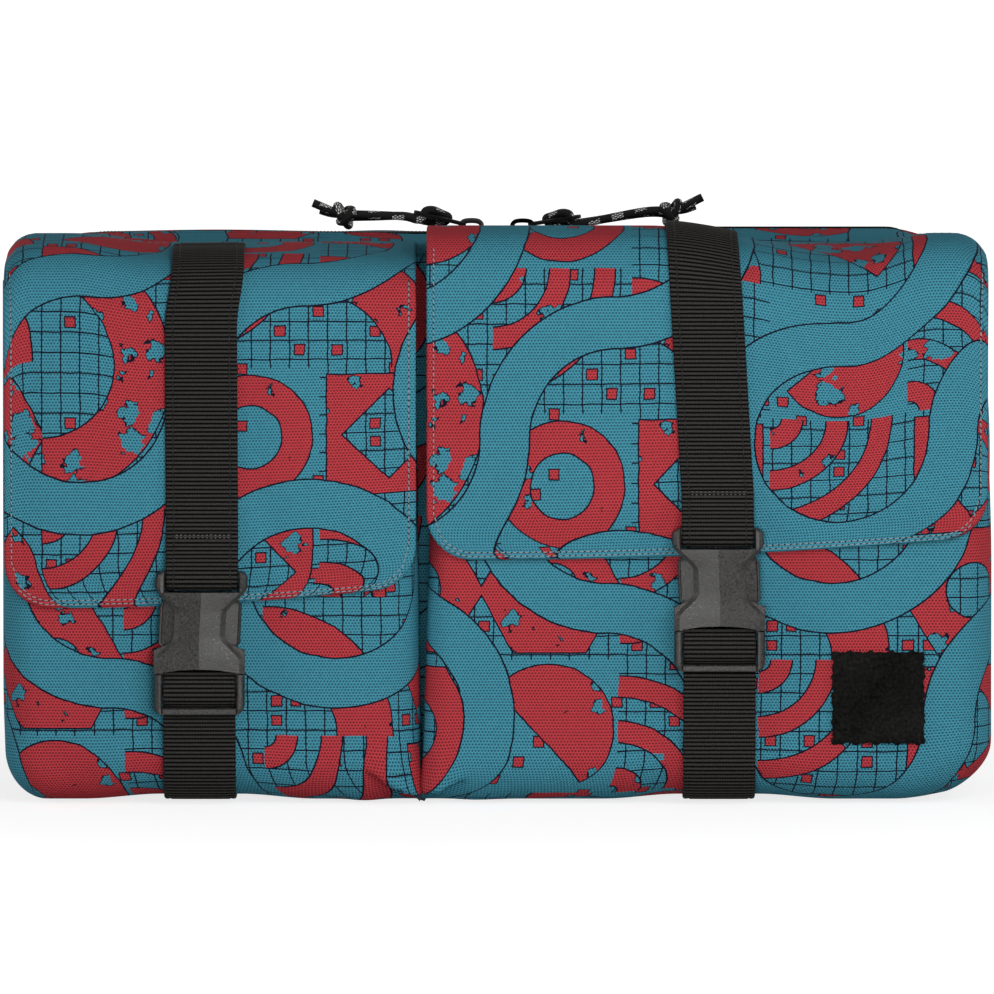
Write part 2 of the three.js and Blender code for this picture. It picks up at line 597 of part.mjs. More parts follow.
// Flap from its sewn edge over the fold to its hem, which starts level at one end and rises to the other.
function addFlap(name, outerX, innerX, crest, hemAt, creases) {
  const side = Math.sign(innerX - outerX);
  const anchors = [outerX + side * 20, ...creases, innerX];
  const spread = anchors.slice(1).flatMap((x, k) => [(anchors[k] + x) / 2, x]);
  const across = [...[0, 2, 6, 12, 20].map((d) => outerX + side * d), ...spread];
  const radius = FLAP_HEM_CORNER;
  const sides = [1, -1].map((face) => across.map((x) => {
    const share = (x - outerX) / (innerX - outerX);
    const place = ({ point, outward }, inset) => {
      const moved = outward.clone().multiplyScalar(face * FLAP_CLOTH / 2).add(point);
      return v3(outerX + side * inset + share * (innerX - outerX - 2 * side * inset), moved.x, moved.y);
    };
    const fold = flapFold(x, crest);
    const hem = hemAt(x);
    const low = v2(FLAP_FRONT, hem + radius);
    const last = fold.at(-1);
    const straight = [0.34, 0.67, 1].map((k) => ({ ...last, point: last.point.clone().lerp(low, k) }));
    const corner = [1, 2, 3, 4].map((k) => {
      const angle = Math.PI / 2 * k / 4;
      const point = v2(FLAP_FRONT, hem + radius * (1 - Math.sin(angle)));
      return place({ ...last, point }, radius * (1 - Math.cos(angle)));
    });
    return [...[...fold, ...straight].map((sample) => place(sample, 0)), ...corner];
  }));
  add(`${name}_flap`, FINISHES.printedFabric, gridSolid(...sides));
}

// Webbing sewn down the flap, round the socket's bar and back up behind itself.
function addFlapStrap(name, strapX, lean, crest, mouth) {
  const stitch = mouth + SOCKET_LENGTH + 11;
  const onFlap = FLAP_CLOTH / 2 + 2 * GAP + WEB_HALF;
  const front = (outward, up) => v2(BUCKLE_BACK - outward, mouth + up);
  const barMiddle = (BAR_BACK + BAR_FRONT) / 2;
  const turn = BAR_FRONT + GAP + WEB_HALF - barMiddle;
  const barLow = SOCKET_LENGTH - 2.8;
  const doubled = WEBBING_THICKNESS + GAP + WEB_HALF;
  const loop = [
    front(WEB_HALF, SOCKET_LENGTH + 15),
    front(doubled, SOCKET_LENGTH + 11),
    front(doubled + 0.2, SOCKET_LENGTH + 8),
    front(barMiddle + turn, SOCKET_LENGTH - 0.6),
    ...[0, 1, 2, 3, 4].map((k) => {
      const angle = Math.PI * k / 4;
      return front(barMiddle + turn * Math.cos(angle), barLow + 0.2 - turn * Math.sin(angle));
    }),
    front(WEB_HALF, SOCKET_LENGTH),
    front(WEB_HALF, SOCKET_LENGTH + 12),
  ];
  const lineAt = (x) => {
    const fold = flapFold(x - lean * (crest(x) - stitch), crest).map(
      ({ point, outward }) => outward.clone().multiplyScalar(onFlap).add(point));
    fold[0].lerp(fold[1], 0.2);
    return [...fold, ...loop];
  };
  const sideways = (z) => -lean * Math.max(z - stitch, 0);
  const across = [strapX - WEBBING_WIDTH / 2, strapX + WEBBING_WIDTH / 2];
  add(`${name}_flap_strap`, FINISHES.webbing, stripSolid(across, lineAt, WEBBING_THICKNESS, sideways));
}

// Webbing from under the pocket, up behind the plug, over its middle bar and down again as a loose tail.
function addLowerStrap(name, strapX, mouth) {
  const at = (outward, up) => v2(BUCKLE_BACK - outward, mouth + up);
  const bend = POCKET_BOTTOM_EDGE;
  const centreY = POCKET_FRONT + bend;
  const centreZ = POCKET_FLOOR + bend;
  const loadRadius = bend + GAP + WEB_HALF;
  const tailRadius = loadRadius + WEBBING_THICKNESS + GAP;
  const behind = GAP + WEB_HALF;
  const outside = behind + WEBBING_THICKNESS + GAP;
  const front = WEB_BAR_FRONT + 1.5 * GAP + WEB_HALF;
  const turnMiddle = (front + behind) / 2;
  const turnHalf = (front - behind) / 2;
  const turnRise = 3 * GAP + 1.5 * WEB_HALF;
  const line = [
    ...arcPoints(centreY, centreZ, tailRadius, TAIL_END_ANGLE, 180, 3),
    at(outside, -PLUG_FRAME_LENGTH - 2 * GAP),
    at(outside, -PLUG_FRAME_LENGTH + PLUG_BAR),
    at(front - GAP, WEB_BAR_LOW - WEB_HALF - GAP),
    ...[0, 1, 2, 3, 4].map((k) => {
      const angle = Math.PI * k / 4;
      return at(turnMiddle + turnHalf * Math.cos(angle), WEB_BAR_TOP - GAP + turnRise * Math.sin(angle));
    }),
    at(behind, -PLUG_FRAME_LENGTH - WEBBING_THICKNESS),
    ...arcPoints(centreY, centreZ, loadRadius, 180, 270, 5),
    v2(centreY + LOWER_STRAP_END, centreZ - loadRadius),
  ];
  const across = [strapX - WEBBING_WIDTH / 2, strapX + WEBBING_WIDTH / 2];
  add(`${name}_lower_strap`, FINISHES.webbing, stripSolid(across, () => line, WEBBING_THICKNESS));
}

// Socket drawn flat: x across, y up from its mouth, z outwards from its back.
function buckleSocket() {
  const mouthHalf = BUCKLE_WIDTH / 2;
  const waistHalf = SOCKET_WAIST / 2;
  const halfAt = (y) => {
    const lower = 1 - smooth(y, SOCKET_LENGTH * 0.03, SOCKET_LENGTH * 0.37);
    const upper = smooth(y, SOCKET_LENGTH * 0.56, SOCKET_LENGTH * 0.83);
    const crown = 1.4 * smooth(y, SOCKET_LENGTH * 0.95, SOCKET_LENGTH);
    return waistHalf + (mouthHalf - waistHalf) * (lower + upper) - crown;
  };
  const stations = [0, 0.06, 0.12, 0.18, 0.24, 0.3, 0.37, 0.56, 0.62, 0.68, 0.74, 0.8, 0.85, 0.95, 1];
  const face = (front) => stations.map((share) => {
    const y = share * SOCKET_LENGTH;
    const half = halfAt(y);
    const flat = half - SOCKET_CHAMFER;
    return [-half, -flat, -flat / 2, 0, flat / 2, flat, half].map((x) => {
      const arch = share ? 0 : 1.8 * (1 - (x / half) ** 2);
      const slope = SOCKET_RIDGE - 0.9 * Math.abs(x) / flat;
      const height = Math.abs(x) > flat ? SOCKET_EDGE : slope;
      return v3(x, y + arch, front ? height : 0);
    });
  });
  const wallIn = mouthHalf - BUCKLE_WALL;
  const wall = (side) => plate(polygon([
    [side * wallIn, 0.3], [side * mouthHalf, 0.3], [side * mouthHalf, SOCKET_LENGTH * 0.24],
    [side * wallIn, SOCKET_LENGTH * 0.29],
  ]), 0.8, SOCKET_EDGE - 0.2);
  const body = join([gridSolid(face(true), face(false)), wall(-1), wall(1)]);
  const slotLow = SOCKET_LENGTH * 0.8;
  const barLow = SOCKET_LENGTH - 2.8;
  return cut(body, [
    block(-wallIn, -1, CAVITY_FLOOR, wallIn, CAVITY_LENGTH, CAVITY_TOP),
    block(-SLOT_HALF, slotLow, -1, SLOT_HALF, barLow, SOCKET_RIDGE + 1),
    block(-SLOT_HALF, slotLow, BAR_FRONT, SLOT_HALF, SOCKET_LENGTH + 1, SOCKET_RIDGE + 1),
    block(-SLOT_HALF, slotLow, -1, SLOT_HALF, SOCKET_LENGTH + 1, BAR_BACK),
  ]);
}

// Plug drawn in the same plane as the socket it sits in: webbing frame, root, two sprung arms and a tongue.
function bucklePlug() {
  const half = BUCKLE_WIDTH / 2;
  const frame = roundedRectangle(half, -PLUG_FRAME_LENGTH, -GAP, 3.5, 1);
  const frameTop = SOCKET_EDGE + 0.8;
  const wallIn = half - BUCKLE_WALL;
  const barBack = 2 * WEBBING_THICKNESS + 4 * GAP;
  const arm = (side) => {
    const outline = polygon([
      [ARM_INNER, 3.8], [12.2, 3.8], [wallIn - 1.4, 7.4], [wallIn - 1.4, 9.6], [wallIn - GAP, 10.4],
      [wallIn - GAP, ARM_REACH - 2.4], [wallIn - 1.6, ARM_REACH - 0.6], [12, ARM_REACH], [ARM_INNER, ARM_REACH - 2],
    ].map(([x, y]) => [side * x, y]));
    return plate(outline, ARM_BOTTOM, ARM_TOP);
  };
  const hollow = cut(plate(frame, 0.8, frameTop, 3), [
    block(-SLOT_HALF, -PLUG_FRAME_LENGTH + PLUG_BAR, 0, SLOT_HALF, 1, frameTop + 1),
    block(-SLOT_HALF, -PLUG_FRAME_LENGTH - 1, 0, SLOT_HALF, 0, barBack + GAP),
  ]);
  return join([
    hollow,
    block(-SLOT_HALF - 0.5, WEB_BAR_LOW, WEB_BAR_BACK, SLOT_HALF + 0.5, WEB_BAR_TOP, WEB_BAR_FRONT),
    block(-wallIn + 0.4, ROOT_BOTTOM, ARM_BOTTOM, wallIn - 0.4, 4.4, ROOT_FRONT),
    arm(-1), arm(1),
    block(-2.2, 4, ARM_BOTTOM + 0.5, 2.2, ARM_REACH - 4, ROOT_FRONT - 0.5),
  ]);
}

function addBuckle(name, strapX, mouth) {
  const buckle = new THREE.Group();
  buckle.position.set(strapX, BUCKLE_BACK, mouth);
  buckle.rotation.x = Math.PI / 2;
  bag.add(buckle);
  add(`${name}_buckle_socket`, FINISHES.bucklePlastic, buckleSocket(), buckle);
  add(`${name}_buckle_plug`, FINISHES.bucklePlastic, bucklePlug(), buckle);
}

// Webbing tab on the back with the strap ring hanging in its loop.
function addStrapRing(name, side) {
  const ringX = side * (MAIN_HALF - RING_INSET);
  const edges = [ringX - WEBBING_WIDTH / 2, ringX + WEBBING_WIDTH / 2];
  const surface = (z) => Math.max(...edges.map((x) => backSurface(x, z)));
  const wireHalf = RING_WIRE / 2;
  const turn = wireHalf * 1.12 + GAP + WEB_HALF;
  const barY = surface(RING_BAR_HEIGHT - RING_DROP / 2) + 2 * GAP + WEBBING_THICKNESS + wireHalf * 1.12;
  const heights = [0, 0.35, 0.7, 1].map((k) => THREE.MathUtils.lerp(TAB_TOP, RING_BAR_HEIGHT + 4, k));
  const lineAt = (x) => {
    const inner = heights.map((z) => v2(backSurface(x, z) + GAP + WEB_HALF, z));
    const outer = heights.slice(0, 3).reverse().map((z) => v2(
      backSurface(x, z) + 2 * GAP + WEBBING_THICKNESS + WEB_HALF, z - 1));
    const beside = (way) => v2(barY + way * turn, RING_BAR_HEIGHT + RING_WIRE * 0.6);
    const loop = arcPoints(barY, RING_BAR_HEIGHT, turn, 180, 360, 6);
    return [...inner.slice(0, 3), beside(-1), ...loop, beside(1), ...outer];
  };
  add(`${name}_ring_tab`, FINISHES.webbing, stripSolid(edges, lineAt, WEBBING_THICKNESS));

  const dee = (grow) => {
    const halfWidth = WEBBING_WIDTH / 2 + 1 + grow;
    const shape = new THREE.Shape();
    const bowStart = -RING_DROP * 0.35;
    const bowPull = -RING_DROP - grow;
    shape.moveTo(-halfWidth, grow - wireHalf);
    shape.lineTo(-halfWidth, bowStart);
    shape.bezierCurveTo(-halfWidth, bowPull, halfWidth, bowPull, halfWidth, bowStart);
    shape.lineTo(halfWidth, grow - wireHalf);
    return shape;
  };
  const bevel = wireHalf * 0.55;
  const outline = dee(RING_WIRE - bevel);
  outline.holes.push(dee(bevel));
  const ring = new THREE.ExtrudeGeometry(outline, {
    depth: RING_WIRE - 2 * bevel, bevelThickness: bevel, bevelSize: bevel, bevelSegments: 1, curveSegments: 10,
  });
  ring.translate(0, 0, bevel - wireHalf).rotateX(Math.PI / 2).translate(ringX, barY, RING_BAR_HEIGHT);
  add(`${name}_strap_ring`, FINISHES.blackMetal, ring);
}

function addPatch() {
  const half = PATCH_SIZE / 2;
  const patch = plate(roundedRectangle(half, -half, half, 1.5, 1.5), 0, PATCH_THICKNESS, 2);
  patch.rotateX(Math.PI / 2).translate(RIGHT_POCKET_END - PATCH_INSET, POCKET_FRONT - GAP, PATCH_Z);
  add('hook_and_loop_patch', FINISHES.loopPile, patch);
}

const leftFlapOuter = POCKET_LEFT_END + LEFT_FLAP_OUTER_INSET;
const leftFlapInner = LEFT_POCKET_INNER - LEFT_FLAP_INNER_INSET;
const rightFlapOuter = RIGHT_POCKET_END + RIGHT_FLAP_OUTER_REACH;
const rightFlapInner = RIGHT_POCKET_INNER + RIGHT_FLAP_INNER_INSET;
const leftCrest = () => LEFT_FLAP_CREST;
const rightCrest = (x) => {
  const fall = THREE.MathUtils.clamp((x - CREST_FALL_START) / (CREST_FALL_END - CREST_FALL_START), 0, 1);
  const endRise = RIGHT_FLAP_END_RISE * smooth(x, CREST_FALL_END, MAIN_HALF);
  return RIGHT_FLAP_CREST - RIGHT_FLAP_CREST_DROP * fall + endRise;
};
const risingHem = (low, rise, lowEnd, highEnd) =>
  (x) => low + rise * ((x - lowEnd) / (highEnd - lowEnd)) ** 2;
const leftHem = risingHem(LEFT_FLAP_HEM, LEFT_FLAP_HEM_RISE, leftFlapOuter, leftFlapInner);
const rightHem = risingHem(RIGHT_FLAP_HEM, RIGHT_FLAP_HEM_RISE, rightFlapInner, rightFlapOuter);

addMainCompartment();
addZip();
addPull(-1, 'left', LEFT_PULL_TILT, LEFT_KNOT_OUT, LEFT_KNOT_UP, LEFT_TAIL_UP);
addPull(1, 'right', RIGHT_PULL_TILT, RIGHT_KNOT_OUT, RIGHT_KNOT_UP, RIGHT_TAIL_UP);
addPocket('left', POCKET_LEFT_END, LEFT_POCKET_INNER, LEFT_POCKET_INNER - POCKET_PARTING_AT_RIM * 0.3);
addPocket('right', RIGHT_POCKET_END, RIGHT_POCKET_INNER, RIGHT_POCKET_INNER + POCKET_PARTING_AT_RIM * 0.7);
addFlap('left', leftFlapOuter, leftFlapInner, leftCrest, leftHem, [LEFT_STRAP_X]);
addFlap('right', rightFlapOuter, rightFlapInner, rightCrest, rightHem,
  [CREST_FALL_END, RIGHT_STRAP_TOP_X, CREST_FALL_START]);
addFlapStrap('left', LEFT_STRAP_X, LEFT_STRAP_LEAN, leftCrest, LEFT_BUCKLE_MOUTH);
addFlapStrap('right', RIGHT_STRAP_X, RIGHT_STRAP_LEAN, rightCrest, RIGHT_BUCKLE_MOUTH);
addLowerStrap('left', LEFT_STRAP_X, LEFT_BUCKLE_MOUTH);
addLowerStrap('right', RIGHT_STRAP_X, RIGHT_BUCKLE_MOUTH);
addBuckle('left', LEFT_STRAP_X, LEFT_BUCKLE_MOUTH);
addBuckle('right', RIGHT_STRAP_X, RIGHT_BUCKLE_MOUTH);
addPatch();
addStrapRing('left', -1);
addStrapRing('right', 1);

export default bag;
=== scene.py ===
"""Looks of a shoulder bag with two flap pockets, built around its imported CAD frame.

Sizes are in millimetres in the bag's frame: +X to the viewer's right, the front towards -Y, +Z up.
They become metres where a mesh is made. Lamps, and sizes inside a material, are in metres.
"""
import json
import math
from functools import partialmethod

import bpy
import numpy as np
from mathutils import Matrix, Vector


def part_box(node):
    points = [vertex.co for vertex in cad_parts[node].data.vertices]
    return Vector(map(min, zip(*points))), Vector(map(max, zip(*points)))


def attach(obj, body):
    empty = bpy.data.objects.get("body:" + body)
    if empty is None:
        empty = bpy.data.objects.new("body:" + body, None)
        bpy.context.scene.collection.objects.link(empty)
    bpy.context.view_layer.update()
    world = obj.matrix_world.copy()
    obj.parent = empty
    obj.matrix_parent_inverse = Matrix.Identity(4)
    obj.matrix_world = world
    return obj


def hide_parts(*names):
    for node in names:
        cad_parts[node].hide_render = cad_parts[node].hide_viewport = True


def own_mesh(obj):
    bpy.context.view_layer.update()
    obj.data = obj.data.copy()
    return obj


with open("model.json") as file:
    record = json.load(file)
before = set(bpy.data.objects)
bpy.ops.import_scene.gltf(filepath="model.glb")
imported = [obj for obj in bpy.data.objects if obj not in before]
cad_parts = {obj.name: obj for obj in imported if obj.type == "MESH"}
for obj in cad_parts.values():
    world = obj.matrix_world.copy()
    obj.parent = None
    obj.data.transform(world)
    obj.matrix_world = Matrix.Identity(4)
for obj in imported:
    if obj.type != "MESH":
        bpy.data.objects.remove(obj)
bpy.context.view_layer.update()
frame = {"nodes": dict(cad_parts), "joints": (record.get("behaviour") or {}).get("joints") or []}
scene = bpy.context.scene
chance = np.random.default_rng(7)

MM = 0.001
SIDES = {"left": -1, "right": 1}
JOINTS = {joint["name"]: joint for joint in frame["joints"]}


def box_mm(node):
    """Lowest and highest corner of a CAD node, in millimetres."""
    low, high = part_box(node)
    return np.array(low) / MM, np.array(high) / MM


# Camera, floor and lamps: a lamp has a name, a place, a size and a power in watts
VIEW_WIDTH = 344.0
VIEW_HEIGHT = 106.7
CAMERA_DISTANCE = 5000
CAMERA_ELEVATION = math.radians(4.3)
SENSOR_WIDTH = 36
WORLD_LIGHT = 0.1
FLOOR_HEIGHT = -0.8
FLOOR_REACH = 12000
FLOOR_GLOW = 0.78
FLOOR_GLOW_GAIN = 0.26
FLOOR_GLOW_SPAN = (0.15, 0.6)
LAMP_AIM = np.array([0, 0, 0.1])
LAMPS = [
    ("main", (0.4, -1.0, 0.5), (0.5, 0.5), 3.7),
    ("front", (0.0, -0.7, 0.09), (0.15, 0.15), 1.25),
    ("left", (-1.7, -0.9, 0.5), (0.7, 1.0), 6.5),
    ("right", (1.7, -0.9, 0.5), (0.7, 1.0), 5.0),
    ("back left", (-1.5, 1.2, 0.25), (0.6, 0.6), 5.0),
    ("back right", (1.5, 1.2, 0.25), (0.6, 0.6), 5.0),
]

# Print and weave, in metres on the flat cloth, and screen colours
BAND_CELL = 0.078
BAND_HALF = 0.0086
TILE_CELL = 0.048
TILE_SHIFT = (0.013, 0.021)
HOLE_SCALE = 105
HOLE_SIZE = 0.009
HOLE_WARP = 0.009
PRINT_GRID = 0.0066
PRINT_LINE = 0.00026
WEAVE_ACROSS = 0.0011
WEAVE_DOWN = 0.00101
LINING_WEAVE = 0.0006
TEAL = (76, 156, 178)
TEAL_TONES = (0.86, 1.14)
RED = (202, 67, 75)
INK = (26, 26, 44)
WEAVE_SHADE = (8, 16, 24)

# Cloth, webbing, stitches and the clearance between neighbours
GAP = 0.3
CLOTH = 1.6
FLAP_CLOTH = 2.0
WEBBING_WIDTH = 25
WEBBING_THICKNESS = 1.5
WEB_HALF = WEBBING_THICKNESS / 2
RIB_PITCH = 1.43
RIB_HEIGHT = 0.2
STITCH_SIDES = 6
NEEDLE_HOLE = 0.32
NEEDLE_HOLE_SIDES = 7

# Pitch, length and radius of each kind of stitch
HEM_STITCH = (2.1, 1.6, 0.2)
SEAM_STITCH = (2.6, 1.4, 0.14)
STRAP_STITCH = (2.4, 2.0, 0.24)
BAR_STITCH = (1.5, 0.8, 0.17)

# Cloth simulation
SIM_FRAMES = 16
SIM_SPACING = 3
SIM_GRAVITY = 0.25
SIM_SETTINGS = {
    "quality": 6,
    "mass": 0.25,
    "tension_stiffness": 25,
    "compression_stiffness": 25,
    "shear_stiffness": 12,
    "bending_stiffness": 1.5,
    "vertex_group_mass": "held",
    "use_pressure": True,
    "shrink_min": -0.025,
}
FLAP_PRESSURE = 0.8
FLAP_SWELL = 2.2
POCKET_PRESSURE = 1.6
POCKET_SWELL = 3.4
BACK_PRESSURE = 1.2
BACK_MOST_SWELL = 1.5

# Main compartment
MAIN_FRONT = box_mm("main_front_panel")[0][1]
MAIN_HALF = box_mm("main_front_panel")[1][0]
TOP_EDGE = box_mm("main_front_panel")[1][2]
MAIN_BACK = box_mm("back_panel")[0][1]
BACK_SWELL = box_mm("back_panel")[1][1] - MAIN_BACK
BAND_FRONT = box_mm("bottom_panel")[0][1]
BAND_BACK = box_mm("bottom_panel")[1][1]
BOTTOM_HALF = box_mm("bottom_panel")[1][0]
TOP_CORNER = 16
BOTTOM_CORNER = 24
SIDE_BULGE = 4.4
SIDE_WRINKLE = 0.5
BACK_EDGE = 3
BACK_SEAM = 0.9
BODY_CORNER = {"left": 11, "right": 12}
SLUMP_HEIGHTS = (140, 186)
LIFTED_CORNER = 4.5
LIFTED_CORNER_SPAN = (138, 171)
LIFTED_CORNER_HEIGHT = 42

# Zip: its strips of cloth, tapes, coils and sliders
STRIP_HALF = box_mm("top_front_strip")[1][0]
ZIP_HEIGHT = box_mm("top_front_strip")[1][2]
ZIP_Y = (MAIN_FRONT + MAIN_BACK) / 2
ZIP_HALF_LEVEL = 12
ZIP_HALF_OPENING = 8
ZIP_END_SAG = 2.6
ZIP_END_SPAN = (136, 156)
ZIP_EDGE_DROP = {"front": 0.8, "back": 1.6}
ZIP_RIGHT_RISE = 1.9
ZIP_RIGHT_RISE_SPAN = (26, 62)
ZIP_RIGHT_END_SPAN = (138, 156)
ZIP_LEFT_RISE = 0.9
ZIP_LEFT_RISE_PLACE = (-98, 36)
BARED_RIGHT_SPAN = (30, 60)
BARED_LEFT_SPAN = (-60, -34)
BARED_LEFT_SHARE = 0.75
BARED_END_SPAN = (138, 150)
STRIP_DIP = 0.9
STRIP_DIP_PLACE = (-27, 15)
STRIP_PUFF = 1.2
STRIP_RIPPLE = 0.7
TAPE_RIDGE = 1.3
COIL_PITCH = 1.3
COIL_WIRE = 0.4
COIL_OFFSET = 1.65
COIL_HALF_WIDTH = 1.95
COIL_HALF_HEIGHT = 0.5
SLIDER_HALF = (box_mm("left_zip_slider")[1][1] - box_mm("left_zip_slider")[0][1]) / 2
BRIDGE_LENGTH = 8.4
BRIDGE_WIDTH = 4.4
BRIDGE_WALL = 1.1
BRIDGE_OPENING = 2.1
BRIDGE_SIDES = 16
PLATE_THICKNESS = 1.1

# Buckles and straps
SOCKET_LENGTH = 35.4
PLUG_FRAME_LENGTH = 14.2
PLUG_BAR = 2.3
LEANS = {"left": 0.004, "right": 0.058}
STRAP_TOP_SHIFT = {"left": 2.4, "right": 0.0}
BUCKLE_LEAN = {"left": 1.0, "right": -0.7}
BUCKLE_LEAN_SPAN = (8, 34)
STRAP_X = {side: sum(corner[0] for corner in box_mm(f"{side}_buckle_socket")) / 2 for side in SIDES}
MOUTH = {side: box_mm(f"{side}_buckle_socket")[0][2] for side in SIDES}
STRAP_SEWN = {side: MOUTH[side] + SOCKET_LENGTH + 11 for side in SIDES}
SEWN_IN = 0.6
LOOP_RISE = -0.6
STRAP_SEAM_INSET = 2.7
SOCKET_LOW, SOCKET_HIGH = box_mm("left_buckle_socket")
SOCKET_HALF = (SOCKET_HIGH[0] - SOCKET_LOW[0]) / 2
SOCKET_RIDGE = SOCKET_HIGH[1] - SOCKET_LOW[1]
SOCKET_WAIST = 8.9
SOCKET_HORNS = SOCKET_HALF + 0.1
SOCKET_EDGE = 7.2
SOCKET_RIM = 1.8
SOCKET_BAR = 2.8
SOCKET_TOP_ROUND = 2.6
FACET_FALL = 0.85
MOUTH_ARCH = 1.8
SLOT_LOW = SOCKET_LENGTH * 0.8
SLOT_HALF = WEBBING_WIDTH / 2 + GAP
CAVITY_FLOOR = 2
CAVITY_TOP = 6.2
ARM_BACK = CAVITY_FLOOR + 0.4
ARM_FRONT = CAVITY_TOP - 1.2
ARM_INNER = 7.2
ARM_REACH = 26
ARM_ROOT = 3.8
PLUG_ROUND = 3.3
PLUG_HALF = 14.1

# Pockets: creases and darts run from one (x, z) to another
POCKET_FRONT = box_mm("left_pocket")[0][1]
POCKET_BACK = box_mm("left_pocket")[1][1]
POCKET_FLOOR = box_mm("left_pocket")[0][2]
POCKET_RIM = box_mm("left_pocket")[1][2]
POCKET_EDGE = 16
POCKET_CORNERS = {"left": (14, 14), "right": (10, 14)}
POCKET_RIM_SHIFTS = {"left": (0.0, -2.1), "right": (4.9, 0.0)}
POCKET_LEAN_BACK = 4
POCKET_SEWN_IN = 1.0
POCKET_INNER_CLOSE = 0.05
POCKET_SAG = 1.7
POCKET_LEFT_TUCK = 1.2
POCKET_RIGHT_BELLY = 2.4
POCKET_ORIGIN = {"left": (7, -61), "right": (-19, -87)}
POCKET_CREASES = {
    "left": [((-31, 16), (-37, 46), 7, 1.2), ((-160, 20), (-138, 8), 6, 1.2), ((-52, 4), (-34, -2), 4, -1.4)],
    "right": [((-16, 14), (4, 40), 8, 1.5), ((150, 10), (132, 22), 6, 1.0), ((-20, 0), (2, 1), 4, -1.2)],
}
POCKET_DARTS = {"left": ((-49, 14), (-26, 5.2), 3.2, 6.0), "right": ((-9, 10), (-26, 6.4), 2.8, 5.4)}
WALL_ROWS = 65
EDGE_ROWS = 18
UNDER_ROWS = 8

# Flaps
FLAP_SEWN_DEPTH = 8
FLAP_FOLD = 22
FLAP_CORNER = {"left": 10, "right": 11}
FLAP_FRONT = box_mm("left_flap")[0][1] + FLAP_CLOTH / 2
BUCKLE_BACK = FLAP_FRONT - FLAP_CLOTH / 2 - GAP
FLAP_SPREAD = {"left": 0.0, "right": 1.2}
FLAP_SPAN = {side: (box_mm(f"{side}_flap")[0][0] - FLAP_SPREAD[side], box_mm(f"{side}_flap")[1][0])
             for side in SIDES}
FLAP_ORIGIN = {"left": (-28.2, 10), "right": (12, 33)}
HEM_CORNER = 16
HEM_LOW = {side: box_mm(f"{side}_flap")[0][2] for side in SIDES}
HEM_RISE = {"left": 6, "right": 6.8}
HEM_ROWS = (1.2, 2.5)
HEM_CORNER_ROWS = 16
HEM_FIRST_ROW = 22
HEM_EDGE_COLUMNS = 9
LEFT_CREST = 189
LEFT_SWELL = 0.6
LEFT_SWELL_PLACE = (-70, 40)
LEFT_END_RISE = 4.0
LEFT_END_SPAN = (-148, -118)
RIGHT_CREST = box_mm("right_flap")[1][2] - FLAP_CLOTH / 2 - 0.6
CREST_FALL = 9.4
CREST_FALL_SPAN = (STRAP_X["right"] - WEBBING_WIDTH, STRAP_X["right"] + WEBBING_WIDTH * 1.8)
CREST_RISE = 6.6
CREST_RISE_SPAN = (124, 152)
SEAM_RISE = {"left": 3.0, "right": 2.6}

# Patch
PATCH_POINTS = 41
PILE_LOOPS = 2600
PILE_RADIUS = 0.12
PILE_INSET = 0.2
PILE_SPAN = (0.35, 0.8)
PILE_HEIGHT = (0.2, 0.6)

# Cords on the zip pulls; the braid's lengths are in metres
CORD_DIAMETER = 3
CORD_SIDES = 14
PULL_LENGTH = 18.2
PULL_WIDTH = 6.4
PULL_THICKNESS = 1.2
KNOT_LENGTH = 9.4
KNOT_RADIUS = 2.75
KNOT_CROSSING = 0.7
KNOT_LEAN = 2.1
TAIL_OFFSET = 1.4
TAIL_REACHES = (11, 8.5)
HITCH_REACH = 9.4
PULL_REACH = PULL_LENGTH - PULL_WIDTH / 2
CORD_LIFT = PULL_THICKNESS / 2 + CORD_DIAMETER / 2 + GAP
CORD_SHAPES = {
    "left": {"tilt": 14, "knot_out": 42, "knot_up": 3, "tail_up": 4.6},
    "right": {"tilt": 9, "knot_out": 49.5, "knot_up": 4.2, "tail_up": 5.4},
}
CORD_STRANDS = 10
CORD_BRAID = 0.0017
CORD_FLECK_TURN = 0.03
CORD_FLECK_PITCH = 0.0084


# Lines and grids of points


def ease(value, low, high):
    """Smooth step from 0 at low to 1 at high."""
    share = np.clip((np.asarray(value, float) - low) / (high - low), 0, 1)
    return share * share * (3 - 2 * share)


def hump(value, centre, width):
    """Bell of height 1 round a centre."""
    return np.exp(-(((np.asarray(value, float) - centre) / width) ** 2))


def unit(vectors):
    """The same directions with length 1."""
    return vectors / np.maximum(np.linalg.norm(vectors, axis=-1, keepdims=True), 1e-9)


def between(wanted, places, rows):
    """Rows of numbers read off at wanted places, where each given row has its own place."""
    return np.stack([np.interp(wanted, places, column) for column in np.asarray(rows).T], axis=-1)


def lengths_along(line):
    """Distance along a line of points, from its first point."""
    steps = np.linalg.norm(np.diff(line, axis=0), axis=1)
    return np.concatenate([[0.0], np.cumsum(steps)])


def resampled(line, spacing):
    """The same line with points a given distance apart."""
    along = lengths_along(line)
    count = max(int(round(along[-1] / spacing)), 2)
    return between(np.linspace(0, along[-1], count + 1), along, line)


def rounded_line(line, rounds=3):
    """A line with its corners cut again and again, which rounds them."""
    line = np.asarray(line, float)
    for _ in range(rounds):
        near = line[:-1] * 0.75 + line[1:] * 0.25
        far = line[:-1] * 0.25 + line[1:] * 0.75
        inner = np.stack([near, far], axis=1).reshape(-1, line.shape[1])
        line = np.concatenate([line[:1], inner[1:-1], line[-1:]])
    return line


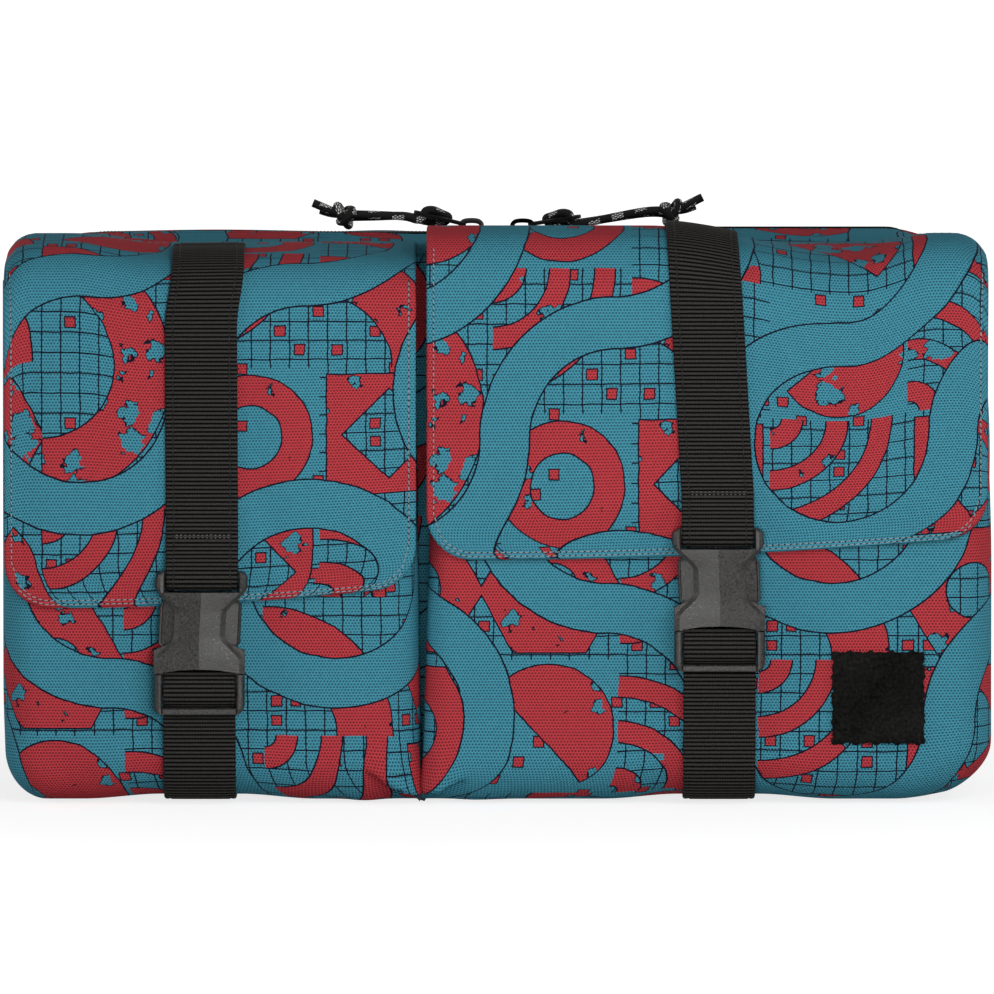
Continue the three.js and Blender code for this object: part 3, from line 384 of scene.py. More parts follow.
def smooth_curve(points, steps=8):
    """Catmull-Rom curve through points."""
    points = np.asarray(points, float)
    padded = np.concatenate([[2 * points[0] - points[1]], points, [2 * points[-1] - points[-2]]])
    made = []
    for a, b, c, d in zip(padded[:-3], padded[1:-2], padded[2:-1], padded[3:]):
        for t in np.arange(steps) / steps:
            made.append(0.5 * (2 * b + (c - a) * t + (2 * a - 5 * b + 4 * c - d) * t ** 2
                               + (3 * b - a - 3 * c + d) * t ** 3))
    made.append(points[-1])
    return np.array(made)


def bezier(a, b, c, share):
    return a * (1 - share) ** 2 + 2 * b * share * (1 - share) + c * share ** 2


def arc(centre_y, centre_z, radius, start, end, steps):
    angles = np.radians(np.linspace(start, end, steps + 1))
    return np.stack([centre_y + radius * np.cos(angles), centre_z + radius * np.sin(angles)], axis=1)


def circle(radius, sides):
    angles = np.arange(sides) * 2 * math.pi / sides
    return radius * np.stack([np.cos(angles), np.sin(angles)], axis=1)


def rounded_drop(into, radius):
    """How far a round corner falls at a distance past the start of its turn."""
    into = np.clip(into, 0, radius * 0.97)
    return radius - np.sqrt(radius ** 2 - into ** 2)


def line_normals(line):
    """Unit normals of a line of (y, z) points; where the line runs down they point to the front."""
    ahead = unit(np.gradient(line, axis=0))
    return np.stack([ahead[:, 1], -ahead[:, 0]], axis=1)


def fine_to_edges(low, high, spacing):
    """Places from low to high that come closer together at both ends."""
    close = np.array([0, 0.45, 1.0, 1.6, 2.2, 3.0, 4.0, 5.2, 7.0])
    count = int((high - low - 2 * close[-1]) / spacing)
    middle = np.linspace(low + close[-1], high - close[-1], count + 1)[1:-1]
    return np.concatenate([low + close, middle, high - close[::-1]])


def grid_of(*parts):
    """Points from arrays of their parts that spread over one another."""
    return np.stack(np.broadcast_arrays(*parts), axis=-1).astype(float)


def grid_quads(index):
    return np.stack([index[:-1, :-1], index[1:, :-1], index[1:, 1:], index[:-1, 1:]], axis=-1).reshape(-1, 4)


def normals_of(grid):
    """Unit normals of a grid whose rows run down and whose columns run to the right: they point out."""
    return unit(np.cross(np.gradient(grid, axis=0), np.gradient(grid, axis=1)))


def closed_sheet(outer, inner):
    """Points and faces of two grids with a rim between them; the inner grid's faces come last."""
    index = np.arange(outer[..., 0].size).reshape(outer.shape[:2])
    count = index.size
    border = np.concatenate([index[0, :-1], index[:-1, -1], index[-1, :0:-1], index[:0:-1, 0]])
    following = np.roll(border, -1)
    rim = np.stack([border, following, following + count, border + count], axis=-1)
    faces = np.concatenate([grid_quads(index), rim, grid_quads(index + count)[:, ::-1]])
    return np.concatenate([outer.reshape(-1, 3), inner.reshape(-1, 3)]), faces


def joined(shells):
    """Several closed shells as the points and faces of one mesh."""
    points, faces = [], []
    for shell, shell_faces in shells:
        first = sum(map(len, points))
        faces += [[corner + first for corner in face] for face in shell_faces]
        points.append(shell)
    return np.concatenate(points), faces


def swept(path, section, closed=False):
    """Rings of a section carried along a path without twisting."""
    path = np.asarray(path, float)
    ahead = np.roll(path, -1, axis=0) - np.roll(path, 1, axis=0)
    if not closed:
        ahead[0], ahead[-1] = path[1] - path[0], path[-1] - path[-2]
    ahead = unit(ahead)
    normal = np.cross(ahead[0], [0.3, 1.0, 0.2])
    rings = []
    for point, tangent in zip(path, ahead):
        normal = unit(normal - (normal @ tangent) * tangent)
        beside = np.cross(tangent, normal)
        rings.append(point + section[:, :1] * normal + section[:, 1:] * beside)
    return np.array(rings)


def ring_faces(count, sides, closed=False, first=0):
    """Quads round rings of points, with flat ends unless the rings close on themselves."""
    index = np.arange(count * sides).reshape(count, sides) + first
    around = np.concatenate([index, index[:, :1]], axis=1)
    if closed:
        around = np.concatenate([around, around[:1]])
    faces = grid_quads(around)[:, ::-1].tolist()
    if not closed:
        faces += [index[0].tolist(), index[-1, ::-1].tolist()]
    return faces


def tubes(paths, radius, sides=10):
    """Points, faces and lay of one or more tubes; the lay is each point's place round and along its tube."""
    points, faces, lay = [], [], []
    section = circle(radius, sides)
    for path in paths:
        along = lengths_along(np.asarray(path, float)) * MM
        faces += ring_faces(len(path), sides, first=sum(map(len, points)))
        points.append(swept(path, section).reshape(-1, 3))
        lay.append(np.column_stack([np.tile(section / radius, (len(path), 1)), np.repeat(along, sides)]))
    return np.concatenate(points), faces, np.concatenate(lay)


# Pieces


def add_object(name, data):
    made = bpy.data.objects.new(name, data)
    scene.collection.objects.link(made)
    return made


def new_mesh(name, points, faces):
    """Mesh from points in millimetres."""
    mesh = bpy.data.meshes.new(name)
    mesh.from_pydata((np.asarray(points, float) * MM).tolist(), [], [list(map(int, face)) for face in faces])
    return mesh


def place(name, points, faces, material, body, uv=None, replaces=(), lining=None, lined=()):
    """Makes a mesh piece from millimetre points, dresses it and sets it on its body."""
    mesh = new_mesh(name, points, faces)
    mesh.materials.append(material)
    if lining is not None:
        mesh.materials.append(lining)
        slots = np.zeros(len(mesh.polygons), np.int32)
        slots[list(lined)] = 1
        mesh.polygons.foreach_set("material_index", slots)
    if uv is not None:
        layer = mesh.uv_layers.new(name="print")
        corner = np.empty(len(mesh.loops), np.int32)
        mesh.loops.foreach_get("vertex_index", corner)
        layer.data.foreach_set("uv", (np.asarray(uv) * MM)[corner].astype(np.float32).ravel())
    mesh.shade_smooth()
    piece = add_object(name, mesh)
    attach(piece, body)
    if replaces:
        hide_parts(*replaces)
    return piece


def cloth_piece(name, outer, thickness, uv, replaces, material=None, inner=None):
    """Closed sheet of cloth on the bag: an outer grid, and an inner one a thickness behind it or as given."""
    rows, columns, _ = outer.shape
    if inner is None:
        inner = outer - normals_of(outer) * np.broadcast_to(thickness, (rows, columns))[..., None]
    points, faces = closed_sheet(outer, inner)
    lined = range(len(faces) - (rows - 1) * (columns - 1), len(faces))
    both = np.concatenate([uv.reshape(-1, 2), uv.reshape(-1, 2)])
    return place(name, points, faces, material or printed, "bag", both, [replaces], lining, lined)


def print_uv(grid, row, column, origin):
    """Where the print falls on a grid: lengths developed along one row and one column of it."""
    across = lengths_along(grid[row])
    down = lengths_along(grid[:, column])
    return grid_of(across[None, :], -down[:, None]) + np.asarray(origin, float)


def swollen(grid, held, pressure, most):
    """How far a cloth simulation pushes each point of a sheet out of its plane, in millimetres."""
    rows, columns, _ = grid.shape
    row_at, column_at = (np.unique(np.round(np.linspace(0, count - 1, count // SIM_SPACING + 2)).astype(int))
                         for count in (rows, columns))
    coarse = grid[np.ix_(row_at, column_at)]
    index = np.arange(coarse.shape[0] * coarse.shape[1]).reshape(coarse.shape[:2])
    trial = add_object("trial", new_mesh("trial", coarse.reshape(-1, 3), grid_quads(index)))
    group = trial.vertex_groups.new(name="held")
    kept = index[held[np.ix_(row_at, column_at)]]
    group.add(kept.ravel().tolist(), 1.0, "REPLACE")
    cloth = trial.modifiers.new("cloth", "CLOTH")
    for setting, value in SIM_SETTINGS.items():
        setattr(cloth.settings, setting, value)
    cloth.settings.uniform_pressure_force = pressure
    cloth.settings.effector_weights.gravity = SIM_GRAVITY
    cloth.point_cache.frame_end = SIM_FRAMES
    for number in range(1, SIM_FRAMES + 1):
        scene.frame_set(number)
    result = trial.evaluated_get(bpy.context.evaluated_depsgraph_get()).data
    moved = np.empty(len(result.vertices) * 3, np.float32)
    result.vertices.foreach_get("co", moved)
    moved = moved.reshape(coarse.shape) / MM - coarse
    bpy.data.objects.remove(trial)
    scene.frame_set(1)
    outward = (moved * normals_of(coarse)).sum(axis=2)
    outward = most * np.tanh(outward / most)
    wide = between(np.arange(columns), column_at, outward.T).T
    full = between(np.arange(rows), row_at, wide)
    for _ in range(3):
        full[1:-1] = (full[:-2] + 2 * full[1:-1] + full[2:]) / 4
        full[:, 1:-1] = (full[:, :-2] + 2 * full[:, 1:-1] + full[:, 2:]) / 4
    return full


def sewn_places(rows, start, pitch):
    """Places a pitch apart on rows of points and normals: row, lengths along it, place and normal."""
    for line, normals in rows:
        along = lengths_along(line)
        for centre in np.arange(start, along[-1], pitch):
            yield line, along, centre, unit(between(centre, along, normals))


def stitch_piece(name, rows, material, stitch):
    """Separate stitches of thread along rows; a row is a line of points with the outward normal at each."""
    pitch, length, radius = stitch
    reach = np.array([-1, -0.78, -0.3, 0.3, 0.78, 1.0])
    girth = np.array([0.25, 0.8, 1.0, 1.0, 0.8, 0.25])
    around = circle(1.0, STITCH_SIDES)
    points, faces = [], []
    for line, along, centre, up in sewn_places(rows, pitch / 2, pitch):
        start, middle, end = between([centre - length / 2, centre, centre + length / 2], along, line)
        ahead = unit(end - start)
        beside = np.cross(up, ahead)
        ahead = ahead + 0.1 * beside
        faces += ring_faces(len(reach), STITCH_SIDES, first=len(points) * STITCH_SIDES)
        for r, g in zip(reach, girth):
            inside = middle + ahead * r * length / 2 + up * radius * (0.75 - 1.1 * r ** 4)
            points.append(inside + radius * g * (around[:, :1] * beside + around[:, 1:] * up))
    return place(name, np.concatenate(points), faces, material, "bag")


def needle_hole_shade(name, rows):
    """Dimples of black material where the thread of each row goes through the cloth, between its stitches:
    painted shade in the needle holes.
    """
    around = circle(NEEDLE_HOLE, NEEDLE_HOLE_SIDES)
    levels = ((-0.15, 1.0), (0.03, 0.95), (0.09, 0.4))
    points, faces = [], []
    for line, along, centre, up in sewn_places(rows, HEM_STITCH[0], HEM_STITCH[0]):
        ahead = unit(np.cross(up, [0.1, 0.9, 0.4]))
        rim = around[:, :1] * ahead + around[:, 1:] * np.cross(up, ahead)
        faces += ring_faces(len(levels), NEEDLE_HOLE_SIDES, first=len(points) * NEEDLE_HOLE_SIDES)
        for lift, share in levels:
            points.append(between(centre, along, line) + up * lift + rim * share)
    return place(name, np.concatenate(points), faces, thread_black, "bag")


def webbing_piece(name, line, x_at, body, replaces, rise=None):
    """Ribbed webbing along a line of (y, z) points, raised where rise says."""
    line = resampled(rounded_line(line), RIB_PITCH / 5)
    normal = line_normals(line)
    along = lengths_along(line)
    half_shares = np.array([0.2, 0.5, 0.8, 0.84, 0.88, 0.94, 0.985, 1])
    shares = np.concatenate([-half_shares[::-1], half_shares])
    from_edge = np.clip((1 - np.abs(shares)) / 0.06, 0, 1)
    body_half = WEB_HALF * np.sqrt(np.clip(1 - (1 - from_edge) ** 2, 0.04, 1))
    body_half = body_half - 0.16 * hump(np.abs(shares), 0.84, 0.03)
    ribbed = np.where(np.abs(shares) < 0.82, 1.0, 0.45)
    rib = RIB_HEIGHT * (2 * np.abs(np.sin(math.pi * along / RIB_PITCH)) - 1)
    half = body_half[None, :] + rib[:, None] * ribbed[None, :] - RIB_HEIGHT * 0.5
    x = np.array([x_at(z) for z in line[:, 1]])[:, None] + shares[None, :] * WEBBING_WIDTH / 2

    def face(sign):
        moved = line[:, None, :] + sign * half[..., None] * normal[:, None, :]
        return np.concatenate([x[..., None], moved], axis=2)

    rings = np.concatenate([face(1), face(-1)[:, ::-1]], axis=1)
    if rise is not None:
        rings[..., 2] += rise(rings[..., 0], rings[..., 2])
    across = np.concatenate([shares, shares[::-1]]) * WEBBING_WIDTH / 2
    uv = grid_of(across[None, :], along[:, None]).reshape(-1, 2)
    faces = ring_faces(len(line), rings.shape[1])
    return place(name, rings.reshape(-1, 3), faces, webbing_black, body, uv, replaces)


# Node materials


class Number:
    """A number in a node tree; arithmetic with it adds Math nodes."""

    def __init__(self, tree, socket):
        self.tree = tree
        self.socket = socket

    def math_node(self, operation, *others):
        node = self.tree.nodes.new("ShaderNodeMath")
        node.operation = operation
        for slot, item in zip(node.inputs, (self, *others)):
            if isinstance(item, Number):
                self.tree.links.new(item.socket, slot)
            else:
                slot.default_value = item
        return Number(self.tree, node.outputs[0])

    __add__ = partialmethod(math_node, "ADD")
    __sub__ = partialmethod(math_node, "SUBTRACT")
    __mul__ = partialmethod(math_node, "MULTIPLY")
    __truediv__ = partialmethod(math_node, "DIVIDE")
    floor = partialmethod(math_node, "FLOOR")
    fraction = partialmethod(math_node, "FRACT")
    size = partialmethod(math_node, "ABSOLUTE")
    least = partialmethod(math_node, "MINIMUM")
    most = partialmethod(math_node, "MAXIMUM")
    over = partialmethod(math_node, "GREATER_THAN")
    under = partialmethod(math_node, "LESS_THAN")

    def distance(self, other):
        """Length of the vector with this and the other number as its sides."""
        return (self * self + other * other).math_node("SQRT")

    def ramp(self, low, high):
        """Smooth step from 0 at low to 1 at high."""
        node = self.tree.nodes.new("ShaderNodeMapRange")
        node.interpolation_type = "SMOOTHSTEP"
        self.tree.links.new(self.socket, node.inputs["Value"])
        node.inputs["From Min"].default_value = low
        node.inputs["From Max"].default_value = high
        return Number(self.tree, node.outputs["Result"])

    def towards(self, other, share):
        """This number where share is 0, the other where it is 1."""
        return self + (other - self) * share


def new_material(name, roughness, **sockets):
    material = bpy.data.materials.new(name)
    material.use_nodes = True
    tree = material.node_tree
    shader = tree.nodes["Principled BSDF"]
    shader.inputs["Roughness"].default_value = roughness
    for socket, value in sockets.items():
        shader.inputs[socket.replace("_", " ")].default_value = value
    return material, tree, shader


def linear(red, green, blue):
    """A screen colour, 0 to 255, as the linear colour that a shader takes."""
    channels = [((c / 255 + 0.055) / 1.055) ** 2.4 if c > 10 else c / 255 / 12.92 for c in (red, green, blue)]
    return (*channels, 1)


def colour_mix(tree, share, first, second):
    """Mix node of two colours: first where share is 0, second where it is 1."""
    node = tree.nodes.new("ShaderNodeMix")
    node.data_type = "RGBA"
    tree.links.new(share.socket, node.inputs[0])
    for slot, colour in ((node.inputs[6], first), (node.inputs[7], second)):
        if isinstance(colour, tuple):
            slot.default_value = colour
        else:
            tree.links.new(colour, slot)
    return node.outputs[2]


def add_bump(tree, shader, height, distance, strength):
    node = tree.nodes.new("ShaderNodeBump")
    node.inputs["Strength"].default_value = strength
    node.inputs["Distance"].default_value = distance
    tree.links.new(height.socket, node.inputs["Height"])
    tree.links.new(node.outputs["Normal"], shader.inputs["Normal"])


def noise(tree, scale, detail, vector=None):
    """Noise in the object's own space, or on the given vector."""
    node = tree.nodes.new("ShaderNodeTexNoise")
    node.inputs["Scale"].default_value = scale
    node.inputs["Detail"].default_value = detail
    if vector is None:
        vector = tree.nodes.new("ShaderNodeTexCoord").outputs["Object"]
    tree.links.new(vector, node.inputs["Vector"])
    return Number(tree, node.outputs["Fac"])


def split_into(tree, socket, kind="ShaderNodeSeparateXYZ"):
    """The three numbers of a vector, or of a colour."""
    node = tree.nodes.new(kind)
    tree.links.new(socket, node.inputs[0])
    return [Number(tree, node.outputs[k]) for k in range(3)]


def vector_of(tree, first, second, third=0.0):
    """Vector of two numbers in the tree and a plain one."""
    node = tree.nodes.new("ShaderNodeCombineXYZ")
    tree.links.new(first.socket, node.inputs[0])
    tree.links.new(second.socket, node.inputs[1])
    node.inputs[2].default_value = third
    return node.outputs[0]


def sheet_place(tree):
    """The print layer and its two numbers, in metres on the flat cloth."""
    source = tree.nodes.new("ShaderNodeUVMap")
    source.uv_map = "print"
    u, v, _ = split_into(tree, source.outputs["UV"])
    return source.outputs["UV"], u, v


def print_cells(tree, u, v, cell, seed):
    """Place within square cells, turned by chance, with three chances and a pick for each cell."""
    across, down = u / cell, v / cell
    column, row = across.floor(), down.floor()
    draw = tree.nodes.new("ShaderNodeTexWhiteNoise")
    draw.noise_dimensions = "3D"
    tree.links.new(vector_of(tree, column, row, seed), draw.inputs["Vector"])
    chances = split_into(tree, draw.outputs["Color"], "ShaderNodeSeparateColor")
    x = (across - column - 0.5) * (chances[0].over(0.5) * 2 - 1)
    y = (down - row - 0.5) * (chances[1].over(0.5) * 2 - 1)
    return x, y, chances, Number(tree, draw.outputs["Value"])


def scattered(tree, u, v, scale):
    """Distance to the nearest of points scattered over the cloth, in metres, and that point's own chance."""
    node = tree.nodes.new("ShaderNodeTexVoronoi")
    node.voronoi_dimensions = "2D"
    node.inputs["Scale"].default_value = scale
    tree.links.new(vector_of(tree, u, v), node.inputs["Vector"])
    own_chance = split_into(tree, node.outputs["Color"], "ShaderNodeSeparateColor")[0]
    return Number(tree, node.outputs["Distance"]) / scale, own_chance


def tile_shape(x, y, pick):
    """Signed distance, in cells, to the motif that a tile draws by chance."""
    corner = (x + 0.5).distance(y + 0.5)
    middle = x.distance(y)
    box = x.size().most(y.size())
    slant = (x + y) * 0.7071
    hexagon = (x.size() * 0.866 + y.size() * 0.5).most(y.size())
    ring = (middle - 0.45).most(middle * -1 + 0.23)
    half_disc = (middle - 0.47).most(slant - 0.07)
    nut = (hexagon - 0.45).most(middle * -1 + 0.2)
    fan = (corner - 0.93).most(corner * -1 + 0.52)
    frame_tile = (box - 0.45).most((x.size() + y.size()) * -0.7071 + 0.24)
    arches = ((((corner * 3.1).fraction() - 0.5).size() - 0.24) * 0.32).most(corner - 0.97)
    shape = ring
    for level, other in ((0.2, half_disc), (0.38, nut), (0.56, fan), (0.74, frame_tile), (0.9, arches)):
        shape = shape.towards(other, pick.over(level))
    return shape


def printed_fabric():
    """Woven cloth with a generic print: winding teal bands over torn red tiles and fine ruled squares."""
    material, tree, shader = new_material("printed_fabric", 0.8, Specular_IOR_Level=0.06)
    flat, u, v = sheet_place(tree)
    wobble = noise(tree, 150, 1, flat) - 0.5
    drawn_u, drawn_v = u + wobble * 0.001, v + wobble * 0.0008
    x, y, _, _ = print_cells(tree, drawn_u, drawn_v, BAND_CELL, 3.0)
    one = ((x + 0.5).distance(y + 0.5) - 0.5).size()
    other = ((x - 0.5).distance(y - 0.5) - 0.5).size()
    band = one.least(other) * BAND_CELL - BAND_HALF

    x, y, chances, pick = print_cells(tree, drawn_u + TILE_SHIFT[0], drawn_v + TILE_SHIFT[1], TILE_CELL, 8.0)
    tile = tile_shape(x, y, pick) * TILE_CELL
    torn_u = u + (noise(tree, 240, 2, flat) - 0.5) * HOLE_WARP
    torn_v = v + (noise(tree, 275, 2, flat) - 0.5) * HOLE_WARP
    from_hole, hole_chance = scattered(tree, torn_u, torn_v, HOLE_SCALE)
    worn = chances[2].under(0.45) * 0.3
    red_field = tile.most((hole_chance + worn - 0.72) * HOLE_SIZE - from_hole)
    open_ground = band.over(0.0)
    red = red_field.under(0.0) * open_ground
    outline = band.size().under(PRINT_LINE * 1.1)
    for edge in (tile, red_field):
        outline = outline.most(edge.size().under(PRINT_LINE) * open_ground)

    x, y, draws, _ = print_cells(tree, drawn_u, drawn_v, PRINT_GRID, 5.0)
    from_middle = x.size().most(y.size())
    free_ground = open_ground * tile.over(0.0)
    ruled = from_middle.over(0.464) * chances[0].over(0.3) * free_ground
    square_edge = (from_middle - 0.27) * PRINT_GRID
    filled = draws[2].under(0.1) * free_ground
    square = square_edge.under(0.0) * filled
    outline = outline.most(square_edge.size().under(PRINT_LINE * 0.8) * filled)

    shade = noise(tree, 700, 2, flat)
    teals = [tuple(channel * tone for channel in linear(*TEAL)[:3]) + (1,) for tone in TEAL_TONES]
    colour = colour_mix(tree, red.most(square), colour_mix(tree, shade, *teals), linear(*RED))
    colour = colour_mix(tree, outline.most(ruled), colour, linear(*INK))

    row = v / WEAVE_DOWN
    stagger = (row.floor() * 0.5).fraction()
    dot_u = (u / WEAVE_ACROSS + stagger).fraction() - 0.5
    hollow = dot_u.distance(row.fraction() - 0.5).ramp(0.42, 0.2)
    dotted = colour_mix(tree, hollow * 0.66, colour, linear(*WEAVE_SHADE))
    tree.links.new(dotted, shader.inputs["Base Color"])
    add_bump(tree, shader, hollow * -1 + shade * 0.3, 0.00025, 0.7)
    return material


def lining_fabric():
    """Coated inner side of the cloth."""
    material, tree, shader = new_material("lining", 0.6, Specular_IOR_Level=0.2)
    _, u, v = sheet_place(tree)
    one, other = (((number / LINING_WEAVE).fraction() - 0.5).size() for number in (u, v))
    weave = one.most(other)
    colour = colour_mix(tree, weave, linear(52, 60, 64), linear(38, 44, 48))
    tree.links.new(colour, shader.inputs["Base Color"])
    add_bump(tree, shader, weave, 0.00012, 0.5)
    return material


def webbing_fabric(name, dark, pale):
    """Ribbed black tape: pale crowns on the ribs, painted there as highlight with painted shade in the dips
    between the ribs, and fine threads across them.
    """
    material, tree, shader = new_material(name, 0.75, Specular_IOR_Level=0.04)
    flat, u, v = sheet_place(tree)
    rib = ((v / (RIB_PITCH * MM)).fraction() - 0.5).size()
    thread = ((u / 0.0009 + rib * 0.6).fraction() - 0.5).size()
    grain = noise(tree, 2200, 2, flat)
    # The crowns of the ribs get the pale colour as a painted highlight, and the dips between them the dark
    # colour as painted shade.
    crown = rib.ramp(0.38, 0.14)
    painted_rib_highlight = crown * (thread * 0.4 + grain * 0.9 + 0.1)
    tree.links.new(colour_mix(tree, painted_rib_highlight, linear(*dark), linear(*pale)), shader.inputs["Base Color"])
    add_bump(tree, shader, crown * 0.7 + thread + grain, 0.0002, 0.7)
    return material


def cord_fabric():
    """Braided black cord, painted darker at the edges of its strands as shade in the braid's grooves, with
    clusters of white flecks that wind round it.
    """
    material, tree, shader = new_material("cord", 0.7, Specular_IOR_Level=0.15)
    source = tree.nodes.new("ShaderNodeAttribute")
    source.attribute_name = "lay"
    cosine, sine, along = split_into(tree, source.outputs["Vector"])
    turn = sine.math_node("ARCTAN2", cosine) / (2 * math.pi) + 0.5
    one = (turn * CORD_STRANDS + along / CORD_BRAID).fraction() - 0.5
    other = (turn * CORD_STRANDS - along / CORD_BRAID).fraction() - 0.5
    strand = one.size().most(other.size())
    cluster = (turn * 2 + along / CORD_FLECK_TURN).fraction().under(0.55)
    cluster = cluster * (along / CORD_FLECK_PITCH).fraction().under(0.5)
    fleck = strand.under(0.3) * cluster
    # Darker towards the edges of each strand: painted shade in the grooves of the braid.
    base = colour_mix(tree, strand.ramp(0.2, 0.5), linear(24, 23, 23), linear(6, 6, 6))
    tree.links.new(colour_mix(tree, fleck, base, linear(236, 236, 232)), shader.inputs["Base Color"])
    add_bump(tree, shader, strand * -1, 0.0003, 0.8)
    return material


def grained(name, dark, pale, roughness, grain, depth, shine, contrast=1.0, cloud=0.5):
    """Moulded, coated or piled surface: fine grain in its colour, its gloss and its height."""
    material, tree, shader = new_material(name, roughness, Specular_IOR_Level=shine)
    fine = noise(tree, grain, 3)
    broad = noise(tree, grain / 14, 2)
    mixed = (fine * (1.2 - cloud) + broad * cloud - 0.6) * contrast + 0.5
    tree.links.new(colour_mix(tree, mixed, linear(*dark), linear(*pale)), shader.inputs["Base Color"])
    gloss = mixed * 0.16 + (roughness - 0.08)
    tree.links.new(gloss.socket, shader.inputs["Roughness"])
    add_bump(tree, shader, fine, depth, 0.6)
    return material


def thread_of(name, dark, pale, roughness=0.8, shine=0.1):
    return grained(name, dark, pale, roughness, 2400, 0.0001, shine)


printed = printed_fabric()
lining = lining_fabric()
# The pale colour of the webbing and of the zip tape is a painted highlight on their rib crowns; the dark one
# is the black tape and painted shade between the ribs.
webbing_black = webbing_fabric("webbing", (4, 4, 4), (76, 74, 72))
tape_black = webbing_fabric("zip_tape", (16, 16, 17), (44, 44, 45))
cord_black = cord_fabric()
buckle_plastic = grained("buckle_plastic", (4, 4, 4), (62, 60, 58), 0.34, 1500, 0.00012, 0.26, 2.6, 0.1)
black_metal = grained("black_metal", (9, 9, 10), (20, 20, 21), 0.5, 1500, 0.00006, 0.06)
coil_nylon = grained("zip_coil", (12, 12, 13), (26, 26, 26), 0.5, 2200, 0.00003, 0.08)
pile_black = grained("patch_pile", (2, 2, 2), (46, 45, 44), 0.9, 900, 0.0004, 0.03, 2.0)
thread_pale = thread_of("thread", (84, 112, 124), (196, 205, 210))
thread_teal = thread_of("thread_teal", (66, 104, 116), (128, 152, 160))
thread_grey = thread_of("thread_grey", (62, 61, 60), (138, 136, 134))
thread_black = thread_of("thread_black", (16, 16, 16), (40, 39, 38), 0.75, 0.2)


# Camera and cords


def make_camera():
    data = bpy.data.cameras.new("camera")
    data.sensor_width = SENSOR_WIDTH
    data.lens = SENSOR_WIDTH * CAMERA_DISTANCE / VIEW_WIDTH
    data.clip_start = 0.05
    data.clip_end = 50
    camera = add_object("camera", data)
    back = np.array([0, -math.cos(CAMERA_ELEVATION), math.sin(CAMERA_ELEVATION)])
    camera.location = (np.array([0, POCKET_FRONT, VIEW_HEIGHT]) + back * CAMERA_DISTANCE) * MM
    camera.rotation_euler = (math.pi / 2 - CAMERA_ELEVATION, 0, 0)
    scene.camera = camera


def cord_piece(name, side, paths, node):
    """Braided cord along paths, on a zip pull."""
    points, faces, lay = tubes(paths, CORD_DIAMETER / 2, CORD_SIDES)
    piece = place(name, points, faces, cord_black, f"{side}_pull", replaces=[node])
    attribute = piece.data.attributes.new("lay", "FLOAT_VECTOR", "POINT")
    attribute.data.foreach_set("vector", lay.astype(np.float32).ravel())
    return piece


def make_pull_cord(side, tilt, knot_out, knot_up, tail_up):
    """Cord hitched through the eye of a pull tab, its knot and the two short tails."""
    angle = math.radians(tilt)
    pivot = np.array(JOINTS[f"{side}_pull_swing"]["pos_m"]) / MM

    def point(out, across, up):
        return pivot + np.array([SIDES[side] * out, across, up])

    def on_tab(along, up, across=0.0):
        out = along * math.cos(angle) - up * math.sin(angle)
        return point(out, across, along * math.sin(angle) + up * math.cos(angle))

    beside = PULL_WIDTH / 2 + CORD_DIAMETER / 2 + GAP
    past_end = PULL_LENGTH + CORD_DIAMETER
    strand = CORD_DIAMETER / 2 + GAP / 2
    route = [
        point(knot_out, strand, knot_up + 0.6),
        point(knot_out - KNOT_LENGTH, strand, knot_up + 0.4),
        on_tab(past_end, -CORD_LIFT, strand),
        on_tab(PULL_REACH + 1.6, -CORD_LIFT, 1.0),
        on_tab(PULL_REACH - 0.2, -PULL_THICKNESS, 0.3),
        on_tab(PULL_REACH - 0.8, PULL_THICKNESS, 0.0),
        on_tab(PULL_REACH - 3.2, CORD_LIFT - GAP, -1.2),
        on_tab(PULL_REACH - 6.2, CORD_LIFT - 3 * GAP, -beside * 0.7),
        on_tab(PULL_REACH - HITCH_REACH + 0.4, 0.8, -beside),
        on_tab(PULL_REACH - HITCH_REACH + 1.2, -1.0, -beside),
        on_tab(PULL_REACH - 6.0, -CORD_LIFT + GAP, -beside * 0.9),
        on_tab(PULL_REACH - 0.6, -CORD_LIFT, -beside * 0.7),
        on_tab(past_end, -CORD_LIFT, -strand),
        point(knot_out - KNOT_LENGTH, -strand, knot_up - 0.4),
        point(knot_out, -strand, knot_up - 0.6),
    ]
    path = smooth_curve(route, 8) * [1, -1, 1] + [0, 2 * pivot[1], 0]
    cord = cord_piece(f"{side}_cord", side, [path], f"{side}_pull_cord")

    def turn(lean, over):
        """One turn of the knot, leaning along the cord and passing over the other turn."""
        angles = np.linspace(0, 2 * math.pi, 49)
        radius = KNOT_RADIUS + over * KNOT_CROSSING * np.cos(2 * angles)
        out = knot_out + lean * KNOT_LEAN * np.cos(angles + 0.4) + lean * 0.5
        return np.stack([point(o, r * math.sin(a), knot_up + r * math.cos(a))
                         for o, r, a in zip(out, radius, angles)])

    def tail(across, out, up):
        steps = [(-3, 0.5, 0.0), (1, 1.0, 0.4), (5, 1.3, up * 0.45), (out, 1.6, up)]
        places = [point(knot_out + o, across * share, knot_up + rise) for o, share, rise in steps]
        return smooth_curve(places, 6)

    long_tail = tail(-TAIL_OFFSET, TAIL_REACHES[0], tail_up)
    short_tail = tail(TAIL_OFFSET, TAIL_REACHES[1], tail_up * 0.4)
    strands = [turn(1, 1), turn(-1, -1), long_tail, short_tail]
    knot = cord_piece(f"{side}_knot", side, strands, f"{side}_pull_knot")
    lengths_along(path)[-1] * MM


# Shapes shared by the cloth pieces


def top_height(y):
    """Height of the main compartment's top: level at the zip, falling to its front and back edges."""
    beyond = np.maximum(np.abs(y - ZIP_Y) - ZIP_HALF_LEVEL, 0)
    return ZIP_HEIGHT - (ZIP_HEIGHT - TOP_EDGE) * beyond / ((MAIN_BACK - MAIN_FRONT) / 2 - ZIP_HALF_LEVEL)


